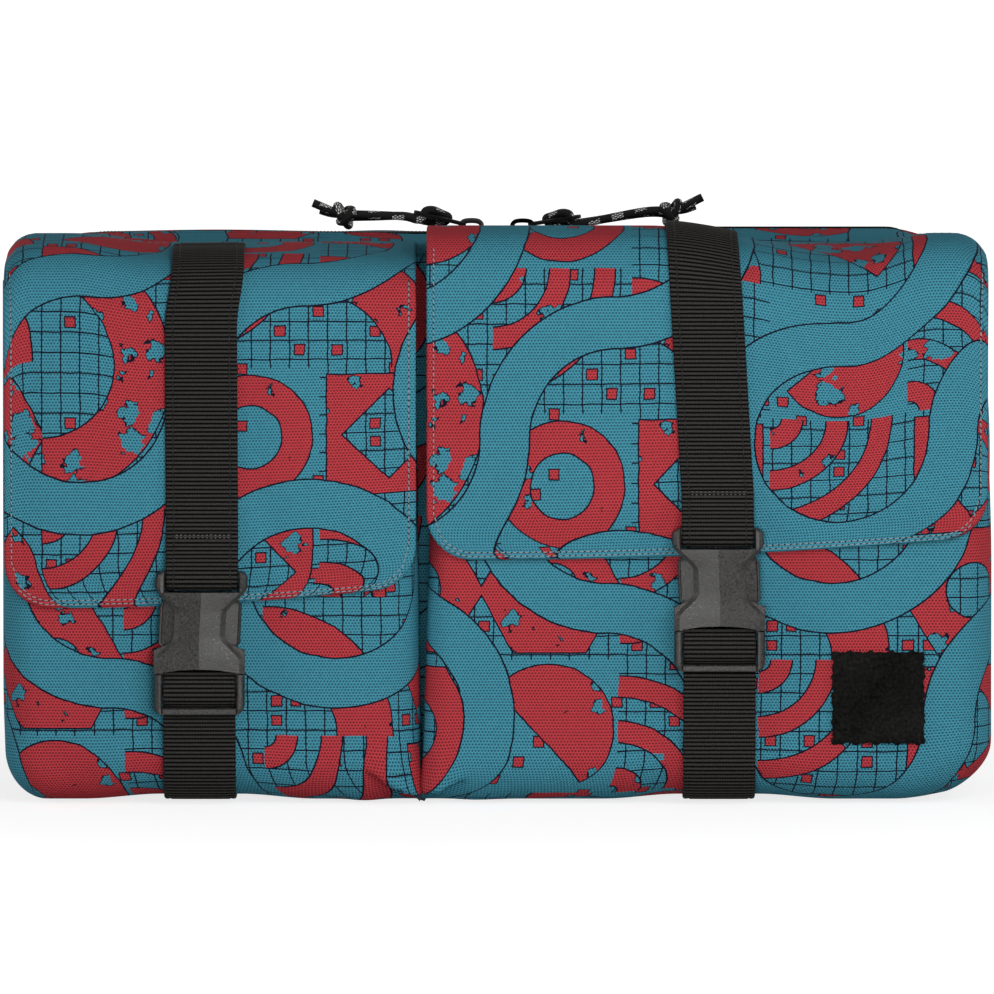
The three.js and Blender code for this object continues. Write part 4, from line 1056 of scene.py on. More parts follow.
def half_width(heights):
    """Half the width of the main compartment's front and back at each height, with their rounded corners."""
    below = np.maximum(BOTTOM_CORNER - heights, 0)
    above = np.maximum(heights - TOP_EDGE + TOP_CORNER, 0)
    return (MAIN_HALF - BOTTOM_CORNER + np.sqrt(np.maximum(BOTTOM_CORNER ** 2 - below ** 2, 0))
            - TOP_CORNER + np.sqrt(np.maximum(TOP_CORNER ** 2 - above ** 2, 0)))


def back_depth(x, z):
    """How far back the padded back panel stands."""
    across = np.clip(np.abs(x) / MAIN_HALF, 0, 1)
    up = np.clip(np.abs(2 * z / TOP_EDGE - 1), 0, 1)
    return MAIN_BACK + BACK_EDGE + (BACK_SWELL - BACK_EDGE) * (1 - across ** 4) * (1 - up ** 4)


def body_drop(x):
    """How far the top corners of the soft main compartment fall at x."""
    left = rounded_drop(BODY_CORNER["left"] - MAIN_HALF - x, BODY_CORNER["left"])
    return left + rounded_drop(x - MAIN_HALF + BODY_CORNER["right"], BODY_CORNER["right"])


def seam_rise(x):
    """How far the seam behind the flaps climbs towards both ends of the bag."""
    return SEAM_RISE["left"] * (1 - ease(x, *LEFT_END_SPAN)) + SEAM_RISE["right"] * ease(x, *CREST_RISE_SPAN)


def settle(points):
    """The bag as it slumps: tight top corners, a zip sagging at its ends and a lifted lower right corner."""
    points = np.array(points, float)
    x, y, z = points[..., 0], points[..., 1], points[..., 2]
    moulded = rounded_drop(np.minimum(np.abs(x), MAIN_HALF - 1) - MAIN_HALF + TOP_CORNER, TOP_CORNER)
    behind = ease(y, -10, 12)
    sagging = ZIP_END_SAG * ease(np.abs(x), *ZIP_END_SPAN) * behind
    sunk = np.clip(body_drop(x) - moulded, -4, 6) - seam_rise(x) * (1 - behind) + sagging
    sunk = sunk * ease(z, *SLUMP_HEIGHTS)
    lift = LIFTED_CORNER * ease(x, *LIFTED_CORNER_SPAN) * (1 - ease(z, 0, LIFTED_CORNER_HEIGHT))
    points[..., 2] += lift - sunk
    return points


def crest(side, x):
    """Height of the middle of a flap's cloth along its crest."""
    if side == "left":
        swell = LEFT_SWELL * hump(x, *LEFT_SWELL_PLACE)
        return LEFT_CREST + swell + LEFT_END_RISE * (1 - ease(x, *LEFT_END_SPAN))
    return RIGHT_CREST - CREST_FALL * ease(x, *CREST_FALL_SPAN) + CREST_RISE * ease(x, *CREST_RISE_SPAN)


def hem(side, x):
    """Height of a flap's lower edge."""
    low, high = FLAP_SPAN[side]
    return HEM_LOW[side] + HEM_RISE[side] * ((np.asarray(x, float) - low) / (high - low)) ** 2


def near_strap(side, grid, inner, outer):
    """1 on the strap's line, falling to 0 away from it."""
    x = STRAP_X[side] - LEANS[side] * np.maximum(grid[..., 2] - STRAP_SEWN[side], 0)
    return 1 - ease(np.abs(grid[..., 0] - x), inner, outer)


def facing_front(grid, low, high):
    """0 where a grid faces away from the front, rising to 1 where it faces it."""
    return ease(-normals_of(grid)[..., 1], low, high)


def tuck(grid, start, end, over, under):
    """A fold along a line seen from the front that deepens from one (x, z) to another: how the cloth moves.

    Cloth hangs over the line from above and is drawn in below it.
    """
    start, end = np.asarray(start, float), np.asarray(end, float)
    ahead = unit(end - start)
    flat = grid[..., [0, 2]] - start
    share = (flat @ ahead) / np.linalg.norm(end - start)
    above = (flat[..., 1] * ahead[0] - flat[..., 0] * ahead[1]) * np.sign(ahead[0])
    deep = ease(share, 0, 0.7) * (1 - ease(share, 0.86, 1.04)) * facing_front(grid, 0.0, 0.4)
    hanging = over * np.exp(-np.maximum(above, 0) / 8)
    drawn_in = -under * np.exp(np.minimum(above, 0) / 3)
    outwards = deep * (drawn_in + (hanging - drawn_in) * ease(above, -0.8, 0.8))
    moved = normals_of(grid) * outwards[..., None]
    moved[..., 2] -= 0.9 * deep * hanging * ease(above, -0.5, 0.5)
    return moved


def groove(grid, start, end, width, depth):
    """A soft crease along a line seen from the front, from one (x, z) to another: how far it sinks."""
    start, end = np.asarray(start, float), np.asarray(end, float)
    flat = grid[..., [0, 2]] - start
    along = end - start
    share = np.clip((flat @ along) / (along @ along), 0, 1)
    off = np.linalg.norm(flat - share[..., None] * along, axis=-1)
    profile = np.sin(np.pi * (0.12 + 0.76 * share))
    return -depth * hump(off, 0, width) * profile * facing_front(grid, 0.0, 0.4)


# Flaps


def fold_lines(x, side, back_steps=14, front_steps=18):
    """Middle lines of a flap over its fold, for each x: (y, z) points from the sewn edge to the front."""
    x = np.asarray(x, float)
    low, high = FLAP_SPAN[side]
    radius = FLAP_CORNER[side]
    drop = rounded_drop(low + radius - x if side == "left" else x - high + radius, radius)
    rear_y = MAIN_FRONT + FLAP_SEWN_DEPTH
    rear_z = top_height(rear_y) + GAP + FLAP_CLOTH / 2 + seam_rise(x) - drop
    crest_y = FLAP_FRONT + FLAP_FOLD * 1.2
    top = crest(side, x) - drop
    rise_z = np.maximum(top, rear_z)
    back = np.linspace(0, 1, back_steps)[:, None]
    front = np.linspace(0, 1, front_steps)[1:, None]
    ones = np.ones_like(x)
    y = np.concatenate([bezier(rear_y * ones, (rear_y + crest_y) / 2 * ones, crest_y * ones, back),
                        bezier(crest_y * ones, FLAP_FRONT * ones, FLAP_FRONT * ones, front)])
    z = np.concatenate([bezier(rear_z, rise_z, top, back), bezier(top, top, top - FLAP_FOLD, front)])
    return np.stack([y, z], axis=-1)


def flap_outline_distance(x, z, low, high, hem_z):
    """Distance of a point on the hanging part of a flap from its rounded outline."""
    aside = np.minimum(x - low, high - x)
    up = z - hem_z
    in_corner = (aside < HEM_CORNER) & (up < HEM_CORNER)
    rounded = HEM_CORNER - np.hypot(HEM_CORNER - aside, HEM_CORNER - up)
    return np.maximum(np.where(in_corner, rounded, np.minimum(aside, up)), 0)


def flap_surface(side):
    """Middle surface of a flap, rows from seam to hem, and each point's distance from the outline."""
    low, high = FLAP_SPAN[side]
    across = fine_to_edges(low, high, 2.4)
    fold = fold_lines(across, side)
    hem_z = hem(side, across)
    last_z = fold[-1, :, 1]
    straight = np.linspace(0, 1, 34)[1:, None]
    corner = np.linspace(0, math.pi / 2, HEM_CORNER_ROWS + 1)[1:, None]
    straight_z = last_z + (hem_z + HEM_CORNER - last_z) * straight
    corner_z = hem_z + HEM_CORNER * (1 - np.sin(corner))
    z = np.concatenate([fold[..., 1], straight_z, corner_z])
    hanging = len(straight) + len(corner)
    y = np.concatenate([fold[..., 0], np.full((hanging, len(across)), FLAP_FRONT)])
    inset = np.concatenate([np.zeros(len(z) - len(corner)), HEM_CORNER * (1 - np.cos(corner[:, 0]))])[:, None]
    share = (across - low) / (high - low)
    x = low + inset + share * (high - low - 2 * inset)
    return np.stack([x, y, z], axis=-1), flap_outline_distance(x, z, low, high, hem_z)


def make_flap(side):
    """Flap with a rolled hem, swelled where its strap and its seam leave it free."""
    grid, distance = flap_surface(side)
    held = near_strap(side, grid, 12, 16) > 0.5
    held[:12] = True
    swell = swollen(grid, held, FLAP_PRESSURE, FLAP_SWELL)
    free = ease(distance, 2, 18) * (1 - near_strap(side, grid, 13, 26))
    free = free * ease(FLAP_FRONT + 8 - grid[..., 1], 0, 6)
    roll = 0.25 * hump(distance, 0.6, 0.6) - sum(0.2 * hump(distance, row, 0.35) for row in HEM_ROWS)
    edge = 0.35 + 0.65 * ease(distance, 0, 0.9)
    half = FLAP_CLOTH / 2 * edge
    rise = np.clip(swell, -0.2, FLAP_SWELL) * free
    outer = grid + normals_of(grid) * (half + roll * edge + rise)[..., None]
    middle = grid.shape[1] // 2
    uv = print_uv(grid, 40, middle, FLAP_ORIGIN[side])
    piece = cloth_piece(f"{side}_flap_cloth", outer, 2 * half, uv, f"{side}_flap")
    low, high = FLAP_SPAN[side]
    long = lengths_along(grid[:, middle])[-1]
    stitch_flap(side, outer, distance)


def row_at_distance(outer, distance, wanted):
    """Points and normals on a flap at one distance from its outline.

    They go down one side, along the hem and up the other side.
    """
    normals = normals_of(outer)
    rows, columns, _ = outer.shape
    near_hem = slice(-HEM_CORNER_ROWS - 1, None)
    near_left, near_right = slice(0, HEM_EDGE_COLUMNS), slice(-HEM_EDGE_COLUMNS, None)
    parts = [(i, near_left) for i in range(HEM_FIRST_ROW, rows - HEM_CORNER_ROWS)]
    parts += [(near_hem, j) for j in range(columns) if distance[near_hem, j].max() >= wanted]
    parts += [(i, near_right) for i in range(rows - HEM_CORNER_ROWS - 1, HEM_FIRST_ROW, -1)]
    line, outward = [], []
    for part in parts:
        order = np.argsort(distance[part])
        places = distance[part][order]
        line.append(between(wanted, places, outer[part][order]))
        outward.append(between(wanted, places, normals[part][order]))
    return np.array(line), np.array(outward)


def stitch_flap(side, outer, distance):
    """Two rows of stitches along the hem, one of them up the sides too, and a row along the seam."""
    line, outward = row_at_distance(outer, distance, HEM_ROWS[0])
    low_part = line[:, 2] < hem(side, line[:, 0]) + HEM_CORNER
    rows = [row_at_distance(outer, distance, HEM_ROWS[1]), (line[low_part], outward[low_part])]
    stitch_piece(f"{side}_flap_stitches", rows, thread_pale, HEM_STITCH)
    needle_hole_shade(f"{side}_flap_needle_holes", rows)
    seam = 3
    row = (outer[seam, 8:-8], normals_of(outer)[seam, 8:-8])
    stitch_piece(f"{side}_flap_seam_stitches", [row], thread_teal, SEAM_STITCH)


# Pockets and the patch


def u_line(left, right, front, first, second, z):
    """Points along a U seen from above: left side, front and right side with rounded corners between them."""
    back = POCKET_BACK + POCKET_SEWN_IN
    steps = 10
    quarter = np.linspace(0, math.pi / 2, 13)
    share = np.linspace(0, 1, steps + 1)[:-1]
    left_side = np.stack([np.full(steps, left), back + (front + first - back) * share], axis=1)
    opening, closing = 1 - np.cos(quarter), 1 - np.sin(quarter)
    left_turn = np.stack([left + first * opening, front + first * closing], axis=1)
    right_turn = np.stack([right - second * closing, front + second * opening], axis=1)
    across = np.linspace(left + first, right - second, 104)[1:-1]
    flat = np.stack([across, np.full(len(across), front)], axis=1)
    right_y = front + second + (back - front - second) * (share + 1 / steps)
    right_side = np.stack([np.full(steps, right), right_y], axis=1)
    line = np.concatenate([left_side, left_turn, flat, right_turn, right_side])
    return np.column_stack([line, np.full(len(line), z)])


def pocket_surface(side):
    """Outer surface of a pocket: rows from its rim down and under, columns from left round to right."""
    low, high = box_mm(f"{side}_pocket")
    base = POCKET_FLOOR + POCKET_EDGE
    wall = np.linspace(0, 1, WALL_ROWS + 1)[:-1]
    turn = np.concatenate([np.zeros(WALL_ROWS), np.linspace(0, math.pi / 2, EDGE_ROWS),
                           np.full(UNDER_ROWS, math.pi / 2)])
    level = np.concatenate([POCKET_RIM + (base - POCKET_RIM) * wall, np.full(EDGE_ROWS + UNDER_ROWS, base)])
    floor = np.linspace(0, POCKET_BACK - POCKET_FRONT - POCKET_EDGE - 1.5, UNDER_ROWS + 1)[1:]
    inwards = POCKET_EDGE * (1 - np.cos(turn)) + np.concatenate([np.zeros(WALL_ROWS + EDGE_ROWS), floor])
    up = np.clip((level - base) / (POCKET_RIM - base), 0, 1)
    closing = -POCKET_INNER_CLOSE * np.minimum(inwards, POCKET_EDGE)
    turn_left, turn_right = (inwards, closing) if side == "left" else (closing, inwards)
    left = low[0] + POCKET_RIM_SHIFTS[side][0] * up + turn_left
    right = high[0] + POCKET_RIM_SHIFTS[side][1] * up - turn_right
    front = POCKET_FRONT + POCKET_LEAN_BACK * up ** 2 + inwards
    first, second = (np.maximum(corner - inwards, 1) for corner in POCKET_CORNERS[side])
    height = level - POCKET_EDGE * np.sin(turn)
    return np.array([u_line(*row) for row in zip(left, right, front, first, second, height)])


def pocket_finish(side, grid):
    """The pocket as it sits: swollen below the flap, drawn in by the strap and at its lower corners."""
    held = near_strap(side, grid, 11, 14) > 0.5
    held[0] = held[-1] = held[:, 0] = held[:, -1] = True
    swell = swollen(grid, held, POCKET_PRESSURE, POCKET_SWELL)
    below = ease(hem(side, grid[..., 0]) - grid[..., 2], 3, 28)
    pressed = 1 - 0.8 * near_strap(side, grid, 13, 34)
    rise = np.clip(swell, -1, POCKET_SWELL) * below * pressed
    rise = rise * (0.35 + 0.65 * facing_front(grid, -0.2, 0.6))
    for crease in POCKET_CREASES[side]:
        rise = rise + groove(grid, *crease)
    outer = grid + normals_of(grid) * rise[..., None] + tuck(grid, *POCKET_DARTS[side])
    x, z = outer[..., 0], outer[..., 2]
    outer[..., 2] -= POCKET_SAG * (1 - near_strap(side, outer, 14, 40)) * (1 - ease(z, 2, 34))
    if side == "left":
        outer[..., 0] += POCKET_LEFT_TUCK * (1 - ease(z, -6, 44)) * (1 - ease(x, -172, -150))
    else:
        belly = ease(z, -6, 20) * (1 - ease(z, 80, POCKET_RIM - 8)) * ease(POCKET_BACK - outer[..., 1], 0, 14)
        outer[..., 0] += POCKET_RIGHT_BELLY * belly * ease(x, 130, 168)
    return outer


def make_pocket(side):
    """Pocket of a soft U that its flap, its strap and the bag's slump shape; returns its outer surface."""
    grid = pocket_surface(side)
    outer = settle(pocket_finish(side, grid))
    uv = print_uv(grid, 30, grid.shape[1] // 2, POCKET_ORIGIN[side])
    cloth_piece(f"{side}_pocket_cloth", outer, CLOTH, uv, f"{side}_pocket")
    return outer


def on_front(surface, x, z):
    """Points and normals on the front of a grid surface at (x, z), from its nearest four points."""
    normals = normals_of(surface)
    facing = normals[..., 1] < -0.5
    flat = surface[facing]
    outward = normals[facing]
    points = np.empty(x.shape + (3,))
    ups = np.empty(x.shape + (3,))
    for at in np.ndindex(x.shape):
        off = (flat[:, 0] - x[at]) ** 2 + (flat[:, 2] - z[at]) ** 2
        near = np.argpartition(off, 4)[:4]
        weight = 1 / (off[near] + 0.05)
        weight /= weight.sum()
        points[at] = [x[at], weight @ flat[near, 1], z[at]]
        ups[at] = weight @ outward[near]
    return points, unit(ups)


def make_patch(surface):
    """Square of black loop pile sewn to the right pocket."""
    low, high = box_mm("hook_and_loop_patch")
    thickness = high[1] - low[1]
    share = np.linspace(0, 1, PATCH_POINTS)
    x = np.tile(low[0] + (high[0] - low[0]) * share, (PATCH_POINTS, 1))
    z = np.tile((high[2] - (high[2] - low[2]) * share)[:, None], (1, PATCH_POINTS))
    edge = np.minimum.reduce([x - low[0], high[0] - x, z - low[2], high[2] - z])
    wave = 0.35 * np.sin(x * 0.9 + 2 * z) + 0.3 * np.sin(1.7 * x - 0.8 * z)
    x = x + wave * (edge < 0.4)
    z = z + wave[::-1] * (edge < 0.4)
    base, outward = on_front(surface, x, z)
    height = thickness * (0.25 + 0.6 * ease(edge, 0, 1.4)) + 0.25 * chance.random(x.shape)
    outer = base + outward * height[..., None]
    uv = np.stack([x, z], axis=-1)
    cloth_piece("loop_pile_patch", outer, height + 0.2, uv, "hook_and_loop_patch", pile_black)
    lowest = [low[0] + PILE_INSET, low[2] + PILE_INSET, 0, PILE_SPAN[0], PILE_HEIGHT[0]]
    highest = [high[0] - PILE_INSET, high[2] - PILE_INSET, math.pi, PILE_SPAN[1], PILE_HEIGHT[1]]
    draws = [[chance.uniform(a, b) for a, b in zip(lowest, highest)] for _ in range(PILE_LOOPS)]
    across, up, turn, span, taller = np.array(draws).T
    feet, ups = on_front(surface, across, up)
    start = feet + ups * thickness * 0.6
    along = grid_of(np.cos(turn), 0, np.sin(turn)) * span[:, None]
    rise = ups * (thickness * 0.8 + taller)[:, None]
    steps = ((-1, 0), (-0.7, 0.35), (0, 0.55), (0.7, 0.35), (1, 0))
    loops = np.stack([start + along * ahead + rise * lifted for ahead, lifted in steps], axis=1)
    points, faces, _ = tubes(loops, PILE_RADIUS, 4)
    place("loop_pile_fibres", points, faces, pile_black, "bag")


# Straps


def make_flap_strap(side):
    """Webbing sewn down the flap, round the socket's bar and back up behind itself."""
    mouth, lean, sewn = MOUTH[side], LEANS[side], STRAP_SEWN[side]
    on_flap = FLAP_CLOTH / 2 + 2 * GAP + WEB_HALF
    bar_middle = WEBBING_THICKNESS + 2 * GAP + 1.5
    turn = 1.5 + GAP + WEB_HALF
    doubled = WEBBING_THICKNESS + GAP + WEB_HALF
    straight_x = STRAP_X[side] + BUCKLE_LEAN[side]
    top_x = straight_x - lean * (crest(side, STRAP_X[side]) - sewn) + STRAP_TOP_SHIFT[side]
    top = float(crest(side, top_x))
    fold = fold_lines([top_x], side)[:, 0]
    lifted = on_flap - (on_flap + SEWN_IN) * (1 - ease(np.arange(len(fold)), 4, 11))
    fold = fold + lifted[:, None] * line_normals(fold)

    def front(outward, up):
        return [BUCKLE_BACK - outward, mouth + up]

    loop = [front(WEB_HALF, SOCKET_LENGTH + 15), front(doubled, SOCKET_LENGTH + 11),
            front(doubled + 0.2, SOCKET_LENGTH + 8), front(bar_middle + turn, SOCKET_LENGTH - 0.6)]
    bar_low = SOCKET_LENGTH - SOCKET_BAR + LOOP_RISE
    for angle in np.linspace(0, math.pi, 7):
        loop.append(front(bar_middle + turn * math.cos(angle), bar_low - turn * math.sin(angle)))
    loop += [front(WEB_HALF, SOCKET_LENGTH), front(WEB_HALF, SOCKET_LENGTH + 12)]
    line = np.concatenate([fold[4:], loop])

    def x_at(z):
        on_buckle = STRAP_X[side] + BUCKLE_LEAN[side] * ease(z - mouth, *BUCKLE_LEAN_SPAN)
        return on_buckle - lean * max(z - sewn, 0) + STRAP_TOP_SHIFT[side] * ease(z, top - 24, top - 2)

    def rise(x, z):
        return (crest(side, x) - crest(side, top_x)) * ease(z, top - 25, top - 4)

    webbing_piece(f"{side}_flap_webbing", line, x_at, "bag", [f"{side}_flap_strap"], rise)
    stitch_strap(side, line, x_at, rise)


def stitch_strap(side, line, x_at, rise):
    """Black thread down both edges of the webbing, and a bar of grey thread across it above the buckle."""
    low = STRAP_SEWN[side]
    line = resampled(rounded_line(line), 1.0)
    normal = np.column_stack([np.zeros(len(line)), line_normals(line)])
    before_end = line[:60 + int(np.argmin(line[:, 1])), 1]
    last = int(np.argmin(np.abs(before_end - low)))
    sewn = slice(4, max(last, 20))
    rows = []
    inset = WEBBING_WIDTH / 2 - STRAP_SEAM_INSET
    for offset in (-inset, inset):
        points = np.stack([[x_at(z) + offset, y, z] for y, z in line[sewn]]) + normal[sewn] * (WEB_HALF - 0.1)
        points[:, 2] += rise(points[:, 0], points[:, 2])
        rows.append((points, normal[sewn]))
    stitch_piece(f"{side}_strap_stitches", rows, thread_black, STRAP_STITCH)
    y = float(np.interp(low + 1, line[sewn][::-1, 1], line[sewn][::-1, 0]))
    bars = []
    across = np.linspace(-WEBBING_WIDTH / 2 + 3, WEBBING_WIDTH / 2 - 3, 30)
    for step in (0.6, 1.5):
        uneven = chance.normal(0, 0.06, len(across))
        points = grid_of(x_at(low) + across, y - WEB_HALF, low + step + uneven)
        bars.append((points, np.tile([0.0, -1.0, 0.0], (len(points), 1))))
    stitch_piece(f"{side}_strap_bar_stitches", bars, thread_grey, BAR_STITCH)


def make_lower_strap(side):
    """Webbing through the plug: the loop on the plug, and the run under the pocket that gives way to it."""
    mouth, x = MOUTH[side], STRAP_X[side]
    centre_y, centre_z = POCKET_FRONT + POCKET_EDGE, POCKET_FLOOR + POCKET_EDGE
    load_radius = POCKET_EDGE + GAP + WEB_HALF
    tail_radius = load_radius + WEBBING_THICKNESS + GAP
    behind = GAP + WEB_HALF
    outside = behind + WEBBING_THICKNESS + GAP
    parting = -PLUG_FRAME_LENGTH - 0.6

    def at(outward, up):
        return [BUCKLE_BACK - outward, mouth + up]

    over_bars = [(outside, parting), (outside, -11.8), (4.4, -10.9), (6.4, -9.2), (7.0, -7.2), (6.9, -5.0),
                 (6.4, -3.0), (5.6, -1.2), (5.0, 0.1), (4.4, 0.5), (3.7, 0.0), (3.0, -1.6), (2.0, -3.4),
                 (behind, -6.5), (behind, parting)]
    loop = [at(*spot) for spot in over_bars]
    tail = np.concatenate([arc(centre_y, centre_z, tail_radius, 238, 180, 8), [at(outside, parting - 0.2)]])
    load = np.concatenate([[at(behind, parting - 0.2)], arc(centre_y, centre_z, load_radius, 180, 270, 12),
                           [[centre_y + 12, centre_z - load_radius]]])
    node = [f"{side}_lower_strap"]
    webbing_piece(f"{side}_lower_webbing_loop", loop, lambda z: x, f"{side}_plug", node)
    for name, line in (("tail", tail), ("load", load)):
        run = webbing_piece(f"{side}_lower_webbing_{name}", line, lambda z: x, "bag", node)
        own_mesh(run)


# Main compartment and zip


def make_main_front():
    """Front of the main compartment, seen between the pockets and above them."""
    share = fine_to_edges(-MAIN_HALF, MAIN_HALF, 6) / MAIN_HALF
    heights = np.linspace(TOP_EDGE, 0, 60)[:, None]
    grid = grid_of(share * half_width(heights), MAIN_FRONT, heights)
    uv = print_uv(grid, 30, len(share) // 2, (31, 22))
    cloth_piece("main_front_cloth", settle(grid), CLOTH, uv, "main_front_panel")


def make_side(side):
    """Side wall of the main compartment, bellied out between its rounded ends."""
    sign = SIDES[side]
    columns = []
    for y in np.linspace(BAND_FRONT, BAND_BACK, 31):
        top = float(top_height(y))
        upper = arc(MAIN_HALF - TOP_CORNER, top - TOP_CORNER, TOP_CORNER, 90, 0, 12)
        lower = arc(MAIN_HALF - BOTTOM_CORNER, BOTTOM_CORNER, BOTTOM_CORNER, 0, -90, 14)
        middle = np.linspace(upper[-1], lower[0], 40)[1:-1]
        x, z = np.concatenate([upper, middle, lower]).T
        depth = math.sin(math.pi * (y - BAND_FRONT) / (BAND_BACK - BAND_FRONT))
        belly = SIDE_BULGE * np.sin(np.pi * z / top) ** 2 * depth
        columns.append(grid_of(sign * (x + belly), y, z))
    grid = np.stack(columns[::sign], axis=1)
    wrinkle = SIDE_WRINKLE * np.sin(grid[..., 2] / 11 + grid[..., 1] / 9) * ease(grid[..., 2], 10, 60)
    inside = ease(np.minimum(grid[..., 1] - BAND_FRONT, BAND_BACK - grid[..., 1]), 0, 14)
    outer = grid + normals_of(grid) * (wrinkle * inside)[..., None]
    uv = print_uv(grid, 30, 15, (70 * sign, 15))
    cloth_piece(f"{side}_side_cloth", settle(outer), CLOTH, uv, f"{side}_side_panel")


def make_bottom():
    x = np.linspace(-BOTTOM_HALF, BOTTOM_HALF, 90)
    y = np.linspace(BAND_FRONT, BAND_BACK, 24)[:, None]
    grid = grid_of(x, y, 0)
    uv = print_uv(grid, 10, 40, (5, 48))
    cloth_piece("bottom_cloth", settle(grid), CLOTH, uv, "bottom_panel")


def zip_rise(x):
    """How far the cloth and tapes beside the zip's coils stand above their straight line, along the bag."""
    right = ZIP_RIGHT_RISE * ease(x, *ZIP_RIGHT_RISE_SPAN) * (1 - ease(x, *ZIP_RIGHT_END_SPAN))
    return right + ZIP_LEFT_RISE * hump(x, *ZIP_LEFT_RISE_PLACE)


def zip_bared(x):
    """Where the cloth beside the zip lies lower than its tapes."""
    bared = ease(x, *BARED_RIGHT_SPAN) + BARED_LEFT_SHARE * (1 - ease(x, *BARED_LEFT_SPAN))
    return bared * (1 - ease(np.abs(x), *BARED_END_SPAN))


def make_top_strips():
    """Cloth strips on both sides of the zip, each with a turned edge sewn down beside the coil."""
    x = np.linspace(-STRIP_HALF, STRIP_HALF, 130)
    for name, sign, edge in (("front", -1, BAND_FRONT), ("back", 1, BAND_BACK)):
        level = ZIP_Y + sign * ZIP_HALF_LEVEL
        inner = ZIP_Y + sign * ZIP_HALF_OPENING
        flat = level + (inner - level) * np.linspace(0, 1, 12)[1:]
        y = np.concatenate([np.linspace(edge, level, 16), flat])[::sign, None]
        from_zip = np.abs(y - inner)
        turned = 0.4 * hump(from_zip, 1.2, 1.0) - 0.3 * hump(from_zip, 3.0, 0.5)
        puff = STRIP_PUFF * np.sin(np.pi * np.clip((from_zip - 4) / 24, 0, 1))
        ripple = STRIP_RIPPLE * np.sin(x / 23 + sign) * np.sin(x / 61 + 0.5)
        along = zip_rise(x) - STRIP_DIP * hump(x, *STRIP_DIP_PLACE) - ZIP_EDGE_DROP[name] * zip_bared(x)
        soft = turned + puff + ripple * ease(from_zip, 2, 16) + along * (1 - ease(from_zip, 6, 26))
        grid = grid_of(x, y, top_height(y) + soft * (1 - ease(np.abs(x), 138, STRIP_HALF)))
        uv = print_uv(grid, 8, 60, (11 * sign, 90))
        cloth_piece(f"top_{name}_cloth", settle(grid), CLOTH, uv, f"top_{name}_strip")


def make_tapes():
    """Woven tapes of the zip, from under the cloth strips to the coils."""
    for name in ("front", "back"):
        low, high = box_mm(f"zip_{name}_tape")
        x = np.linspace(low[0], high[0], 150)
        y = np.linspace(high[1], low[1], 40)[:, None]
        away = np.abs(y - ZIP_Y)
        beside = ease(away, SLIDER_HALF + GAP, SLIDER_HALF + GAP + 1)
        ridge = TAPE_RIDGE * hump(away, ZIP_HALF_OPENING - 1, 0.7)
        grid = grid_of(x, y, high[2] + beside * zip_rise(x) + ridge * zip_bared(x))
        uv = print_uv(grid, 6, 75, (0, 0))[..., ::-1]
        cloth_piece(f"zip_{name}_tape_cloth", settle(grid), high[2] - low[2], uv, f"zip_{name}_tape",
                    tape_black)


def make_coils():
    """Two coils of the zip, their turns set half a pitch apart so that they mesh."""
    low, high = box_mm("zip_front_coil")
    turns = int((high[0] - low[0]) / COIL_PITCH)
    angles = np.linspace(0, 2 * math.pi * turns, turns * 12)
    middle_z = (low[2] + high[2]) / 2
    for name, sign, start in (("front", -1, 0), ("back", 1, math.pi)):
        path = np.stack([low[0] + 1 + COIL_PITCH * (angles + start) / (2 * math.pi) * 0.99,
                         ZIP_Y + sign * (COIL_OFFSET - COIL_HALF_WIDTH * np.cos(angles)),
                         middle_z + COIL_HALF_HEIGHT * np.sin(angles)], axis=1)
        points, faces, _ = tubes([settle(path)], COIL_WIRE, 6)
        place(f"zip_{name}_coil_turns", points, faces, coil_nylon, "bag",
              replaces=[f"zip_{name}_coil"])


def make_back():
    """Padded back panel, with a sewn edge all round."""
    upper = TOP_EDGE - TOP_CORNER * (1 - np.cos(np.linspace(0, math.pi / 2, 12)))
    middle = np.linspace(TOP_EDGE - TOP_CORNER, BOTTOM_CORNER, 60)[1:-1]
    lower = BOTTOM_CORNER * np.cos(np.linspace(0, math.pi / 2, 14))
    heights = np.concatenate([upper, middle, lower])[:, None]
    half = half_width(heights)
    x = fine_to_edges(-MAIN_HALF, MAIN_HALF, 4)[::-1] / MAIN_HALF * half
    grid = grid_of(x, back_depth(x, heights), heights)
    from_edge = np.minimum(half - np.abs(x), np.minimum(heights, TOP_EDGE - heights))
    swell = np.clip(swollen(grid, from_edge < 4, BACK_PRESSURE, BACK_MOST_SWELL), -0.5, BACK_MOST_SWELL)
    rise = swell * ease(from_edge, 4, 30) - BACK_SEAM * hump(from_edge, 5, 1.0)
    outer = settle(grid + normals_of(grid) * rise[..., None])
    uv = print_uv(grid, 40, 40, (3, 5))
    inner = outer * [1, 0, 1] + [0, MAIN_BACK, 0]
    panel = cloth_piece("back_panel_cloth", outer, None, uv, "back_panel", inner=inner)


# Sliders, pull tabs, buckles and rings


def dress_node(name, material, bevel):
    """A CAD piece that keeps its shape: softened edges and its own material."""
    node = frame["nodes"][name]
    node.data.materials.clear()
    node.data.materials.append(material)
    weld = node.modifiers.new("weld", "WELD")
    weld.merge_threshold = 1e-6
    edge = node.modifiers.new("edges", "BEVEL")
    edge.width = bevel * MM
    edge.segments = 3
    edge.limit_method = "ANGLE"
    edge.angle_limit = math.radians(28)
    edge.harden_normals = False


def rounded_plate(outline, low, high, edge):
    """Points and faces of a plate with softened edges; its outline is anticlockwise seen from above."""
    middle = (outline.max(axis=0) + outline.min(axis=0)) / 2
    inset = middle + (outline - middle) * (1 - edge / np.abs(outline - middle).max(axis=0))
    rings = [(inset, low), (outline, low + edge), (outline, high - edge), (inset, high)]
    points = np.array([np.column_stack([ring, np.full(len(ring), z)]) for ring, z in rings])
    return points.reshape(-1, 3), ring_faces(len(rings), len(outline))


